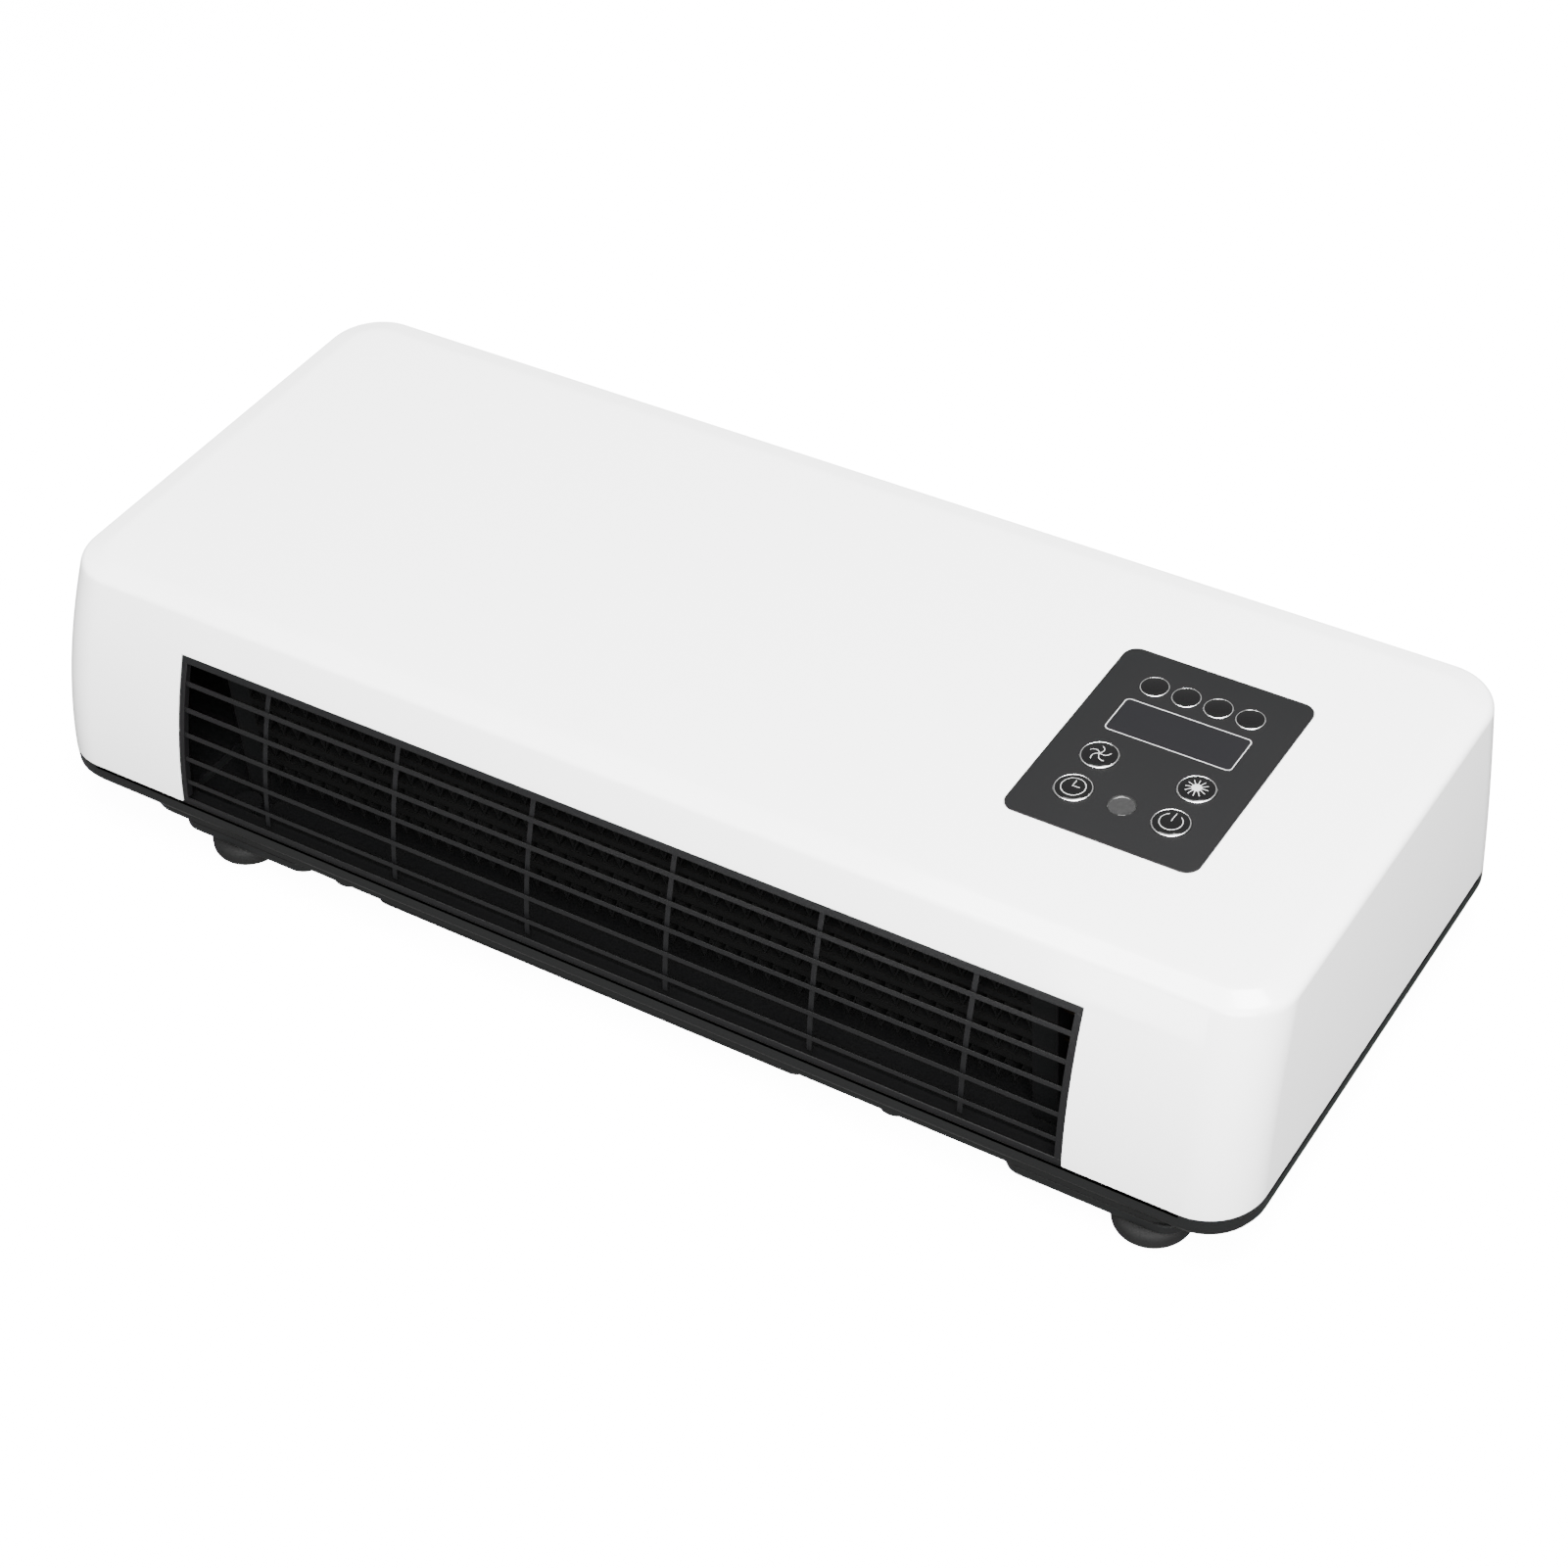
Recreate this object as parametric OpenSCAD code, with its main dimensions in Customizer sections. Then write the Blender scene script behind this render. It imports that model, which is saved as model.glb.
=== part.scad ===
// Wall-mounted fan heater with a ceramic heating core.
// It lies on its back on four round feet: +Z points out of its front face,
// -Y is the side with the air outlet and +X is the end with the control panel.
// The origin is on the ground under the middle of the body. Millimetres.

/* [Cover] */
// Length of the body
body_l = 460; // [420:1:500]
// Width of the body at the lower edge of the cover
body_w = 194.6; // [190:0.2:210]
// Height of the cover above its lower edge
cover_h = 70; // [67:0.5:76]
// Wall thickness of the cover
cover_wall = 2.5; // [2:0.1:3]
// Corner radius of the body seen from the front
corner_r = 19.5; // [15:0.5:24]
// Rounding between the walls and the bevel
top_round = 3; // [2:0.5:4]
// Width of the shallow bevel round the front face
bevel_w = 5; // [3:0.5:7]
// Lean of the shallow bevel in degrees
bevel_angle = 12; // [8:1:15]
// Radius of the blend from the front face into the bevel
bevel_blend = 15; // [10:1:20]
// Set-back of the outlet wall at the top from its straight lean
front_lean = 6.8; // [4:0.2:8]
// Further set-back of the outlet wall at the top from its curve
front_bow = 15; // [12:0.5:16]
// Set-back of the end walls at the top
end_bow = 1.9; // [0:0.1:3]
// Set-back of the back wall at the top
back_lean = 1; // [0:0.1:3]

/* [Base] */
// Height of the sloping rim that shows under the cover
rim_h = 8; // [7:0.5:9]
// Inset of the rim at its lower edge
rim_inset = 3; // [3:0.1:4.1]
// Depth of the pan below the rim
pan_drop = 4; // [3:0.5:5]
// Inset of the pan from the long edges of the body
pan_inset = 4.2; // [4.2:0.1:5.5]
// Distance of the pan from the left end of the body
pan_left = 49; // [40:1:50]
// Distance of the pan from the right end of the body
pan_right = 18; // [17:0.5:19]
// Wall thickness of the base
base_wall = 2.5; // [2:0.1:3]
// Height of the lip that locates the cover
lip_h = 6; // [4:0.5:8]
// Depth of the pads that carry the feet
pad_drop = 4.1; // [3:0.1:5]
// Width of an intake slot
slot_w = 4; // [3:0.25:5]
// Distance between two intake slots
slot_pitch = 10; // [8:0.5:14]
// Length of an intake slot
slot_l = 30; // [20:1:32]
// Radius of the round end of a hanging hole
hang_r = 4.5; // [4:0.1:5.5]
// Width of the narrow end of a hanging hole
hang_slot_w = 4.6; // [4:0.1:5.4]
// Distance between the two hanging holes
hang_spacing = 240; // [220:1:260]
// Distance of the hanging holes from the back edge
hang_set = 45.3; // [43:0.1:48]

/* [Feet] */
// Height of a foot below its pad
foot_h = 7.9; // [7:0.1:12]
// Radius of a foot
foot_r = 13.4; // [11:0.1:14]
// Distance of the left feet from the left end of the body
foot_left = 74; // [70:0.5:80]
// Distance of the right feet from the right end of the body
foot_right = 34.5; // [33:0.5:40]
// Distance of the feet from the long edges of the body
foot_set = 14.8; // [14.8:0.1:19]

/* [Outlet grille] */
// Width of the outlet
grille_w = 342.5; // [330:0.5:350]
// Height of the outlet above the lower edge of the cover
grille_h = 55; // [50:0.2:57]
// Number of long bars
bar_count = 5; // [4:1:6]
// Thickness of a long bar
bar_t = 1.6; // [1.2:0.1:2.4]
// Thickness of an upright rib
rib_t = 2; // [1.5:0.1:3]
// Distance between two upright ribs
rib_pitch = 54; // [48:1:56]
// Depth of the bars and ribs
bar_d = 3.2; // [2.4:0.1:8]
// Thickness of the grille's frame
frame_t = 2.2; // [1.6:0.1:3]
// Depth of the grille's frame
frame_d = 6; // [5:0.1:12]

/* [Control panel] */
// Width of the overlay
panel_w = 66.4; // [62:0.2:70]
// Length of the overlay
panel_l = 86.4; // [82:0.2:90]
// Distance of the overlay's middle from the end of the body
panel_set = 82.2; // [78:0.1:88]
// Distance of the overlay's middle towards the back
panel_y = 11; // [10:0.1:17]
// Corner radius of the overlay
panel_r = 5; // [3:0.5:8]
// Thickness of the overlay
overlay_t = 0.6; // [0.5:0.05:0.8]
// Depth of the shallow seat of the overlay
seat_depth = 0.4; // [0.3:0.05:0.5]
// Radius of a key
key_r = 6.15; // [5.5:0.05:6.5]
// Distance of a key from the overlay's middle line
key_x = 16.7; // [15:0.1:18]
// Height of the key crown above the overlay
key_rise = 0.9; // [0.6:0.1:1.4]
// Travel of a key
key_travel = 0.8; // [0.5:0.1:1]
// Radius of an indicator lens
lamp_r = 4.75; // [4.3:0.05:5]
// Distance between two indicator lenses
lamp_pitch = 11.15; // [10.8:0.05:11.6]
// Radius of the infrared window
infrared_r = 4.5; // [4:0.1:5]
// Width of the display window
display_w = 44; // [40:0.5:46]
// Height of the display window
display_l = 16.3; // [14:0.1:17]

/* [Fan] */
// Radius of the fan wheel
wheel_r = 24; // [22:0.5:24.5]
// Length of the fan wheel
wheel_l = 280; // [260:1:282]
// Number of blades round the wheel
blade_count = 24; // [18:1:28]
// Thickness of a blade
blade_t = 1; // [0.8:0.1:1.4]
// Depth of a blade between the inner and outer radius
blade_depth = 6; // [5:0.5:7]
// Radius of the fan shaft
shaft_r = 2; // [1.8:0.1:2.5]
// Radius of the motor
motor_r = 23.5; // [22:0.5:25]
// Thickness of the duct walls
duct_t = 1.8; // [1.5:0.1:2]

/* [Heater] */
// Length of the heating core
core_l = 300; // [290:1:305]
// Depth of the heating core
core_d = 14; // [12:0.5:15]
// Number of heating elements
element_count = 3; // [2:1:4]
// Thickness of a heating element
element_t = 3; // [2.5:0.1:4]
// Distance between two folds of the fins
fin_pitch = 6; // [5:0.5:8]

/* [Hidden] */

// Clearances: a seat between still pieces, a running fit on the shaft and a thin overlap for cuts
seat_gap = 0.3;
key_gap = 0.2;
run_gap = 0.05;
press_gap = 0.02;
eps = 0.05;
over = 1;

// Heights above the ground
pad_z = foot_h;
pan_z = pad_z + pad_drop;
shelf_z = pan_z + pan_drop;
edge_z = shelf_z + rim_h;
top_z = edge_z + cover_h;
floor_z = pan_z + base_wall;
seat_z = top_z - seat_depth;
overlay_z = seat_z + overlay_t;
ceiling_z = top_z - cover_wall;

// Edge of the front face: a blend, a shallow bevel and a tight rounding, by the drop below the face.
// edge_out is how far outside the flat face the surface lies at a drop.
blend_out = bevel_blend * sin(bevel_angle);
blend_drop = bevel_blend * (1 - cos(bevel_angle));
bevel_out = blend_out + bevel_w;
bevel_drop = blend_drop + bevel_w * tan(bevel_angle);
edge_drop = bevel_drop + top_round * cos(bevel_angle);
function turn(drop) = acos(cos(bevel_angle) - (drop - bevel_drop) / top_round);
function edge_out(drop) = drop <= blend_drop ? bevel_blend * sin(acos(1 - drop / bevel_blend))
    : drop <= bevel_drop ? blend_out + (drop - blend_drop) / tan(bevel_angle)
    : bevel_out + top_round * (sin(turn(drop)) - sin(bevel_angle));

// Set-back of each wall of the cover at a height h above its lower edge
function front_wall(h) = front_lean * h / cover_h + front_bow * pow(h / cover_h, 2);
function end_wall(h) = end_bow * pow(h / cover_h, 2);
function back_wall(h) = back_lean * h / cover_h;
front_slope = atan((front_lean + 2 * front_bow) / cover_h);
end_slope = atan(2 * end_bow / cover_h);
back_slope = atan(back_lean / cover_h);

// Height at which a wall of some slope runs into the tight rounding, and the set-back from there up
function round_start(slope) = cover_h - bevel_drop - top_round * (cos(bevel_angle) - sin(slope));
function round_set(h, slope) =
    bevel_out + top_round * (cos(slope) - sin(bevel_angle)) - edge_out(cover_h - h);
function front_set(h) = h <= round_start(front_slope) ? front_wall(h)
    : front_wall(round_start(front_slope)) + round_set(h, front_slope);
function end_set(h) = h <= round_start(end_slope) ? end_wall(h)
    : end_wall(round_start(end_slope)) + round_set(h, end_slope);
function back_set(h) = h <= round_start(back_slope) ? back_wall(h)
    : back_wall(round_start(back_slope)) + round_set(h, back_slope);
wall_steps = 6;
round_steps = 5;
blend_steps = 2;
straight_h = cover_h - edge_drop;
inner_levels = [for (i = [0:wall_steps]) straight_h * i / wall_steps];
outer_levels = concat(inner_levels,
    [for (i = [1:round_steps]) let (a = 90 - (90 - bevel_angle) * i / round_steps)
        cover_h - bevel_drop - top_round * (cos(bevel_angle) - cos(a))],
    [for (i = [0:blend_steps]) cover_h - bevel_blend * (1 - cos(bevel_angle * (1 - i / blend_steps)))]);
ceiling_inset = 5.5;
front_y = -body_w / 2;
back_y = body_w / 2;

// Cover screws: posts in the cover stand on bosses in the base
post_r = 4;
boss_r = 5.5;
screw_r = 1.5;
screw_gap = 0.05;
head_r = 3;
head_h = 2.2;
head_well = 3.5;
screw_engage = 12;
post_x = body_l / 2 - 11;
post_y = body_w / 2 - 35.3;
bump_r = 7;
bump_drop = 2.7;
bump_x = 108;
bump_y = body_w / 2 - pan_inset - bump_r;
cover_screw_points = [[post_x, -post_y], [-post_x, -post_y], [post_x, post_y], [-post_x, post_y],
    [bump_x, bump_y], [-bump_x, bump_y]];
foot_y = body_w / 2 - foot_set;
foot_x0 = foot_left - body_l / 2;
foot_x1 = body_l / 2 - foot_right;
foot_points = [[foot_x0, -foot_y], [foot_x1, -foot_y], [foot_x0, foot_y], [foot_x1, foot_y]];

// Underside of the base where a screw goes in: the pan, or the shelves beyond its ends
pan_x0 = pan_left - body_l / 2;
pan_x1 = body_l / 2 - pan_right;
function low_z(p) = p[0] > pan_x0 && p[0] < pan_x1 ? pan_z : shelf_z;
hole_gap = 0.2;
head_gap = 0.4;

// Places on the control panel, from its middle
panel_x = body_l / 2 - panel_set;
key_upper_y = -8.6;
key_lower_y = -25.7;
lamp_y = 28.3;
display_y = 11.6;
lamp_count = 4;
lamp_points = [for (i = [0:lamp_count - 1]) [(i - (lamp_count - 1) / 2) * lamp_pitch, lamp_y]];
key_points = [[-key_x, key_upper_y], [-key_x, key_lower_y], [key_x, key_upper_y], [key_x, key_lower_y]];
board_t = 1.6;
board_drop = 8;
board_z = ceiling_z - board_drop - board_t;
board_top = board_z + board_t;
board_inset = 3;
board_w = panel_w - 2 * board_inset;
board_l = panel_l - 2 * board_inset;
board_hole = 4;
board_screw_l = 5;
board_head_r = 2.4;
board_head_h = 1.6;
board_boss_r = 2.75;
board_screw_r = 1.2;
board_points = [for (sx = [-1, 1], sy = [-1, 1])
    [sx * (board_w / 2 - board_hole), sy * (board_l / 2 - board_hole)]];
switch_size = 6;
switch_h = 3.5;
switch_well = 2.2;
stem_r = 1.6;
flange_r = 7.6;
flange_t = 1;
lens_ledge = 2;
infrared_ledge = 1.2;
display_ledge = 1.5;

// Fan axis and duct
wheel_floor_gap = 7.5;
core_set = 21.3;
wheel_back_gap = 30;
core_front_y = front_y + core_set;
core_back_y = core_front_y + core_d;
wheel_y = core_back_y + wheel_back_gap + wheel_r;
wheel_z = floor_z + wheel_floor_gap + wheel_r;
scroll_gap = 2;
cheek_t = 2;
wheel_side_gap = 10;
cheek_x = wheel_l / 2 + wheel_side_gap;
duct_gap = 3;
roof_z = wheel_z + wheel_r + duct_gap;
core_rise = 12.5;
core_z = floor_z + core_rise;
disc_t = 1.4;
bay_count = 5;
hub_r = 6;
hub_l = 10;

// Motor, outside the left cheek
bell_t = 5;
stator_l = 18;
stator_wall = 7;
winding_l = 5;
winding_gap = 2;
air_gap = 0.5;
bell_wall = 1.4;
motor_face = -cheek_x;
stator_x = motor_face - bell_t - winding_l - winding_gap - stator_l;
stator_r = motor_r - bell_wall - run_gap;
stator_bore = stator_r - stator_wall;
motor_back = stator_x - winding_l - winding_gap - bell_t;
shaft_end = 6;
rotor_over = 2;

// Cable gland in the back wall
gland_set = 80;
gland_x = body_l / 2 - gland_set;
gland_z = edge_z + 3;
gland_r = 6;
gland_bore = 3.6;
gland_l = 16;

// Power board: its length is that of the parts that stand on it in a row
relay_count = 3;
relay_l = 15;
relay_w = 19;
relay_h = 15.5;
relay_shift = 1.5;
trafo_l = 18;
trafo_w = 15;
trafo_h = 14;
trafo_set = 4;
capacitor_r = 5;
capacitor_h = 18;
capacitor_gap = 2;
terminal_l = 8;
terminal_w = 22;
terminal_h = 10;
terminal_pitch = 7;
terminal_bore = 1.8;
terminal_floor = 4;
part_gap = 3;
row_start = 12;
row_end = 1;
supply_w = row_start + relay_count * (relay_l + part_gap) + trafo_l + part_gap + terminal_l + row_end;
supply_l = 40;
supply_x = 25;
supply_set = 34;
supply_y = back_y - supply_set;
supply_stand = 8;
supply_stand_r = 3;
supply_z = floor_z + supply_stand;
supply_top = supply_z + board_t;
supply_left = supply_x - supply_w / 2;
trafo_x = supply_left + row_start + relay_count * (relay_l + part_gap);
trafo_y = supply_y - supply_l / 2 + trafo_set;
terminal_x = trafo_x + trafo_l + part_gap;
supply_points = [for (sx = [-1, 1], sy = [-1, 1])
    [supply_x + sx * (supply_w / 2 - board_hole), supply_y + sy * (supply_l / 2 - board_hole)]];

// A rounded rectangle about the origin, with true arcs
module plan(l, w, r) {
    square([l - 2 * r, w], center = true);
    square([l, w - 2 * r], center = true);
    for (sx = [-1, 1], sy = [-1, 1])
        translate([sx * (l / 2 - r), sy * (w / 2 - r)]) circle(r, $fn = 64);
}

module plate(l, w, r, h) {
    linear_extrude(h) plan(l, w, r);
}

// Extrudes a shape drawn in Y and Z along X
module along_x(x, l) {
    translate([x, 0, 0]) rotate([90, 0, 90]) linear_extrude(l) children();
}

module rod(r, h) {
    cylinder(r = r, h = h, $fn = 48);
}

module rod_x(r, x, l) {
    translate([x, wheel_y, wheel_z]) rotate([0, 90, 0]) cylinder(r = r, h = l, $fn = 64);
}

module at_panel(point) {
    translate([panel_x + point[0], panel_y + point[1], 0]) children();
}

// Outline of a rounded rectangle at height z: true arcs become short sides
corner_steps = 8;

function rounded_ring(x1, y0, y1, r, z) = let (
    centres = [[x1 - r, y1 - r], [r - x1, y1 - r], [r - x1, y0 + r], [x1 - r, y0 + r]])
    [for (k = [0:3], j = [0:corner_steps]) let (a = 90 * (k + j / corner_steps))
        [centres[k][0] + r * cos(a), centres[k][1] + r * sin(a), z]];

// Outline of the cover at height h above its lower edge, set in by more
function cover_ring(h, more, z) = rounded_ring(body_l / 2 - end_set(h) - more,
    front_y + front_set(h) + more, back_y - back_set(h) - more,
    corner_r - more - max(0, end_set(h) - end_wall(h)), z);

// Closed solid through a stack of rings that all have the same number of points
module loft(rings) {
    n = len(rings[0]);
    last = len(rings) - 1;
    sides = [for (i = [0:last - 1], j = [0:n - 1]) let (a = i * n + j, b = i * n + (j + 1) % n)
        each [[a, a + n, b + n], [a, b + n, b]]];
    polyhedron([for (ring = rings) each ring],
        concat(sides, [[for (j = [0:n - 1]) j]], [[for (j = [n - 1:-1:0]) last * n + j]]));
}

module cover_outside() {
    loft([for (h = outer_levels) cover_ring(h, 0, edge_z + h)]);
}

module cover_inside() {
    loft(concat([cover_ring(0, cover_wall, edge_z - over)],
        [for (h = inner_levels) cover_ring(h, cover_wall, edge_z + h)],
        [cover_ring(straight_h, ceiling_inset, ceiling_z)]));
}

module front_cover() {
    color("white") difference() {
        union() {
            difference() {
                cover_outside();
                cover_inside();
            }
            for (p = cover_screw_points)
                translate([p[0], p[1], edge_z]) rod(post_r, ceiling_z - edge_z + eps);
            for (p = board_points)
                at_panel(p) translate([0, 0, board_top]) rod(board_boss_r, ceiling_z - board_top + eps);
        }
        outlet_cut();
        translate([panel_x, panel_y, seat_z])
            plate(panel_w + seat_gap, panel_l + seat_gap, panel_r, cover_wall);
        for (p = key_points)
            at_panel(p) face_hole() rod(key_r + key_gap, cover_wall + 2 * over);
        for (p = lamp_points)
            at_panel(p) face_hole() rod(lamp_r - lens_ledge, cover_wall + 2 * over);
        at_panel([0, key_lower_y]) face_hole() rod(infrared_r - infrared_ledge, cover_wall + 2 * over);
        at_panel([0, display_y]) face_hole()
            plate(display_w - 2 * display_ledge, display_l - 2 * display_ledge, over, cover_wall + 2 * over);
        for (p = cover_screw_points)
            translate([p[0], p[1], edge_z - over]) rod(screw_r + screw_gap, screw_engage + 2 * over);
        for (p = board_points)
            at_panel(p) translate([0, 0, board_top - over])
                rod(board_screw_r + screw_gap, board_screw_l + 2 * over);
        gland_cut();
    }
}

// A cut through the front face starts here
module face_hole() {
    translate([0, 0, ceiling_z - over]) children();
}

// The outlet is open down to the lower edge of the cover
outlet_slack = 6;

module outlet_cut() {
    translate([-grille_w / 2, front_y - over, edge_z - over])
        cube([grille_w, over + front_set(grille_h) + cover_wall + outlet_slack, grille_h + over]);
}

module gland_cut() {
    translate([gland_x, back_y - gland_l - over, gland_z]) rotate([-90, 0, 0])
        rod(gland_r + seat_gap, gland_l + 2 * over);
}

// The base: sloping rim, pan, pads for the feet, intake slots and hanging holes
rim_inner = pan_inset + base_wall;
lip_front = front_set(lip_h) + cover_wall + seat_gap;
lip_back = back_set(lip_h) + cover_wall + seat_gap;
lip_end = end_set(lip_h) + cover_wall + seat_gap;
lip_t = 1.8;
rim_land = 1.2;
pan_r = 14;
pan_l = pan_x1 - pan_x0;
pan_w = body_w - 2 * pan_inset;
pan_mid = (pan_x0 + pan_x1) / 2;
slot_end = 10;
slot_field = wheel_l - 2 * slot_end;
slot_count = floor(slot_field / slot_pitch);
slot_row_gap = 6;
slot_row_y = [wheel_y - 2, wheel_y - 2 + slot_l + slot_row_gap];
hang_y = back_y - hang_set;
hang_travel = 10;
hang_wall = 2;
hang_cup_h = 6;
pad_w = 28;
pad_r = 8;
pad_out = 22;
pad_in = 29;
pad_long = 46;
pad_end = 14;
foot_boss_h = 4;
step_l = 172;
step_w = 18;
step_r = 6;
step_drop = 1.6;
step_x = -8;
cradle_wall = 4;

module lip_plan(more) {
    y0 = front_y + lip_front + more;
    y1 = back_y - lip_back - more;
    translate([0, (y0 + y1) / 2])
        plan(body_l - 2 * (lip_end + more), y1 - y0, corner_r - cover_wall - more);
}

module hang_shape(more) {
    circle(hang_r + more, $fn = 64);
    translate([-hang_slot_w / 2 - more, 0]) square([hang_slot_w + 2 * more, hang_travel]);
    translate([0, hang_travel]) circle(hang_slot_w / 2 + more, $fn = 64);
}

module base_tray() {
    color([0.17, 0.17, 0.18]) difference() {
        union() {
            difference() {
                union() {
                    loft([rim_ring(rim_inset, shelf_z), rim_ring(0, edge_z - rim_land), rim_ring(0, edge_z)]);
                    translate([pan_mid, 0, pan_z]) plate(pan_l, pan_w, pan_r, pan_drop + eps);
                }
                translate([pan_mid, 0, floor_z])
                    plate(pan_l - 2 * base_wall, pan_w - 2 * base_wall, pan_r - base_wall, cover_h);
                translate([0, 0, shelf_z + base_wall])
                    plate(body_l - 2 * rim_inner, body_w - 2 * rim_inner, corner_r - rim_inner, cover_h);
            }
            lip();
            for (p = foot_points)
                foot_pad(p);
            for (x = [-bump_x, bump_x], sy = [-1, 1])
                translate([x, sy * bump_y, pan_z - bump_drop])
                    rod(bump_r, bump_drop + base_wall);
            for (sy = [-1, 1])
                translate([step_x, sy * (pan_w - step_w) / 2, pan_z - step_drop])
                    plate(step_l, step_w, step_r, step_drop + eps);
            for (p = cover_screw_points)
                translate([p[0], p[1], low_z(p)]) rod(boss_r, edge_z - low_z(p));
            for (p = supply_points)
                translate([p[0], p[1], floor_z - eps]) rod(supply_stand_r, supply_stand + eps);
            for (sx = [-1, 1])
                translate([sx * hang_spacing / 2, hang_y, floor_z - eps])
                    linear_extrude(hang_cup_h + eps) hang_shape(hang_r - hang_slot_w / 2 + hang_wall);
            gland_seat();
        }
        for (sx = [-1, 1])
            translate([sx * hang_spacing / 2, hang_y, pan_z - over]) {
                linear_extrude(base_wall + 2 * over) hang_shape(0);
                translate([0, 0, base_wall + over])
                    linear_extrude(hang_cup_h - hang_wall) hang_shape(hang_r - hang_slot_w / 2);
            }
        for (i = [0:slot_count - 1], y = slot_row_y)
            translate([(i - (slot_count - 1) / 2) * slot_pitch - slot_w / 2, y - slot_l / 2, pan_z - over])
                cube([slot_w, slot_l, base_wall + 2 * over]);
        for (p = foot_points)
            translate([p[0], p[1], pad_z - over]) rod(screw_r + screw_gap, foot_screw_l + 2 * over);
        for (p = cover_screw_points)
            translate([p[0], p[1], low_z(p) - bump_drop - over]) {
                rod(screw_r + hole_gap, edge_z - low_z(p) + bump_drop + 2 * over);
                rod(head_r + head_gap, head_well + bump_drop + over);
            }
        for (p = supply_points)
            translate([p[0], p[1], floor_z + over]) rod(board_screw_r + screw_gap, supply_stand);
        gland_cut();
    }
}

// Outline of the sloping rim at height z, set in by more
function rim_ring(more, z) =
    rounded_ring(body_l / 2 - more, front_y + more, back_y - more, corner_r - more, z);

// The lip stands inside the cover's walls and stops at the outlet
module lip() {
    difference() {
        translate([0, 0, edge_z - eps]) linear_extrude(lip_h + eps) difference() {
            lip_plan(0);
            lip_plan(lip_t);
        }
        translate([-grille_w / 2 - seat_gap, front_y, edge_z])
            cube([grille_w + 2 * seat_gap, body_w / 3, lip_h + over]);
    }
}

// A raised pad under each foot; the right pads reach further towards the middle of the body
module foot_pad(p) {
    left_end = p[0] > 0 ? -pad_long : -pad_out;
    right_end = p[0] > 0 ? pad_end : pad_in;
    translate([p[0] + (left_end + right_end) / 2, sign(p[1]) * (pan_w - pad_w) / 2, pad_z])
        plate(right_end - left_end, pad_w, pad_r, pad_drop + eps);
    translate([p[0], p[1], pan_z]) rod(boss_r, base_wall + foot_boss_h);
}

// Half-round cradle under the cable gland
module gland_seat() {
    translate([gland_x - gland_r - cradle_wall, back_y - gland_l, floor_z - eps])
        cube([2 * (gland_r + cradle_wall), gland_l - rim_inner + eps, gland_z - floor_z]);
}

gland_collar = 1.5;
gland_collar_t = 2;
gland_step = 0.5;

module cable_gland() {
    color([0.1, 0.1, 0.1]) translate([gland_x, back_y - over, gland_z])
        rotate([90, 0, 0]) difference() {
            union() {
                rod(gland_r, gland_l);
                translate([0, 0, gland_l - gland_step]) rod(gland_r + gland_collar, gland_collar_t);
            }
            translate([0, 0, -over]) rod(gland_bore, gland_l + gland_collar_t + 2 * over);
        }
}

foot_edge = 4;
foot_floor = 3;
foot_screw_l = 7;

module rubber_feet() {
    steps = 6;
    color([0.1, 0.1, 0.1]) for (p = foot_points)
        translate([p[0], p[1], 0]) difference() {
            rotate_extrude($fn = 64) polygon(concat([[0, 0]],
                [for (i = [0:steps]) let (a = 90 * i / steps)
                    [foot_r - foot_edge + foot_edge * sin(a), foot_edge - foot_edge * cos(a)]],
                [[foot_r, foot_h], [0, foot_h]]));
            translate([0, 0, -over]) rod(head_r + 2 * head_gap, foot_h - foot_floor + over);
            rod(screw_r + hole_gap, foot_h + over);
        }
}

module screw(r, l, hr, hh) {
    rod(hr, hh);
    rod(r, hh + l);
}

module foot_screws() {
    color("silver") for (p = foot_points)
        translate([p[0], p[1], foot_h - foot_floor - head_h])
            screw(screw_r, foot_floor + foot_screw_l, head_r, head_h);
}

module cover_screws() {
    color("silver") for (p = cover_screw_points)
        translate([p[0], p[1], low_z(p) + head_well - head_h])
            screw(screw_r, edge_z - low_z(p) - head_well + screw_engage, head_r, head_h);
}

// Outlet grille: frame, long bars and upright ribs that follow the bowed outlet wall
grille_top = edge_z + grille_h - seat_gap;
grille_half = grille_w / 2 - seat_gap;
frame_steps = 8;
rib_count = 6;
frame_set = 0.3;
rib_set = 2.6;
bar_set = 1;
bar_shift = 0.4;

function wall_y(z) = front_y + front_set(z - edge_z);

function wall_line(set, z0, z1) = [for (i = [0:frame_steps])
    let (z = z0 + (z1 - z0) * i / frame_steps) [wall_y(z) + set, z]];

function reversed(points) = [for (i = [len(points) - 1:-1:0]) points[i]];

module wall_strip(set, depth, z0, z1) {
    polygon(concat(wall_line(set, z0, z1), reversed(wall_line(set + depth, z0, z1))));
}

module outlet_grille() {
    color([0.12, 0.12, 0.13]) union() {
        for (x = [-grille_half, grille_half - frame_t])
            along_x(x, frame_t) wall_strip(frame_set, frame_d, edge_z, grille_top);
        for (z = [edge_z, grille_top - frame_t])
            along_x(-grille_half, 2 * grille_half) wall_strip(frame_set, frame_d, z, z + frame_t);
        for (i = [1:bar_count]) let (z = edge_z - bar_shift + grille_h * i / (bar_count + 1))
            along_x(-grille_half + eps, 2 * (grille_half - eps))
                wall_strip(bar_set, bar_d, z - bar_t / 2, z + bar_t / 2);
        for (i = [0:rib_count - 1])
            along_x((i - (rib_count - 1) / 2) * rib_pitch - rib_t / 2, rib_t)
                wall_strip(rib_set, bar_d, edge_z + eps, grille_top - eps);
    }
}

display_r = 1.5;
lens_rise = 0.4;
infrared_rise = 0.3;

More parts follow.
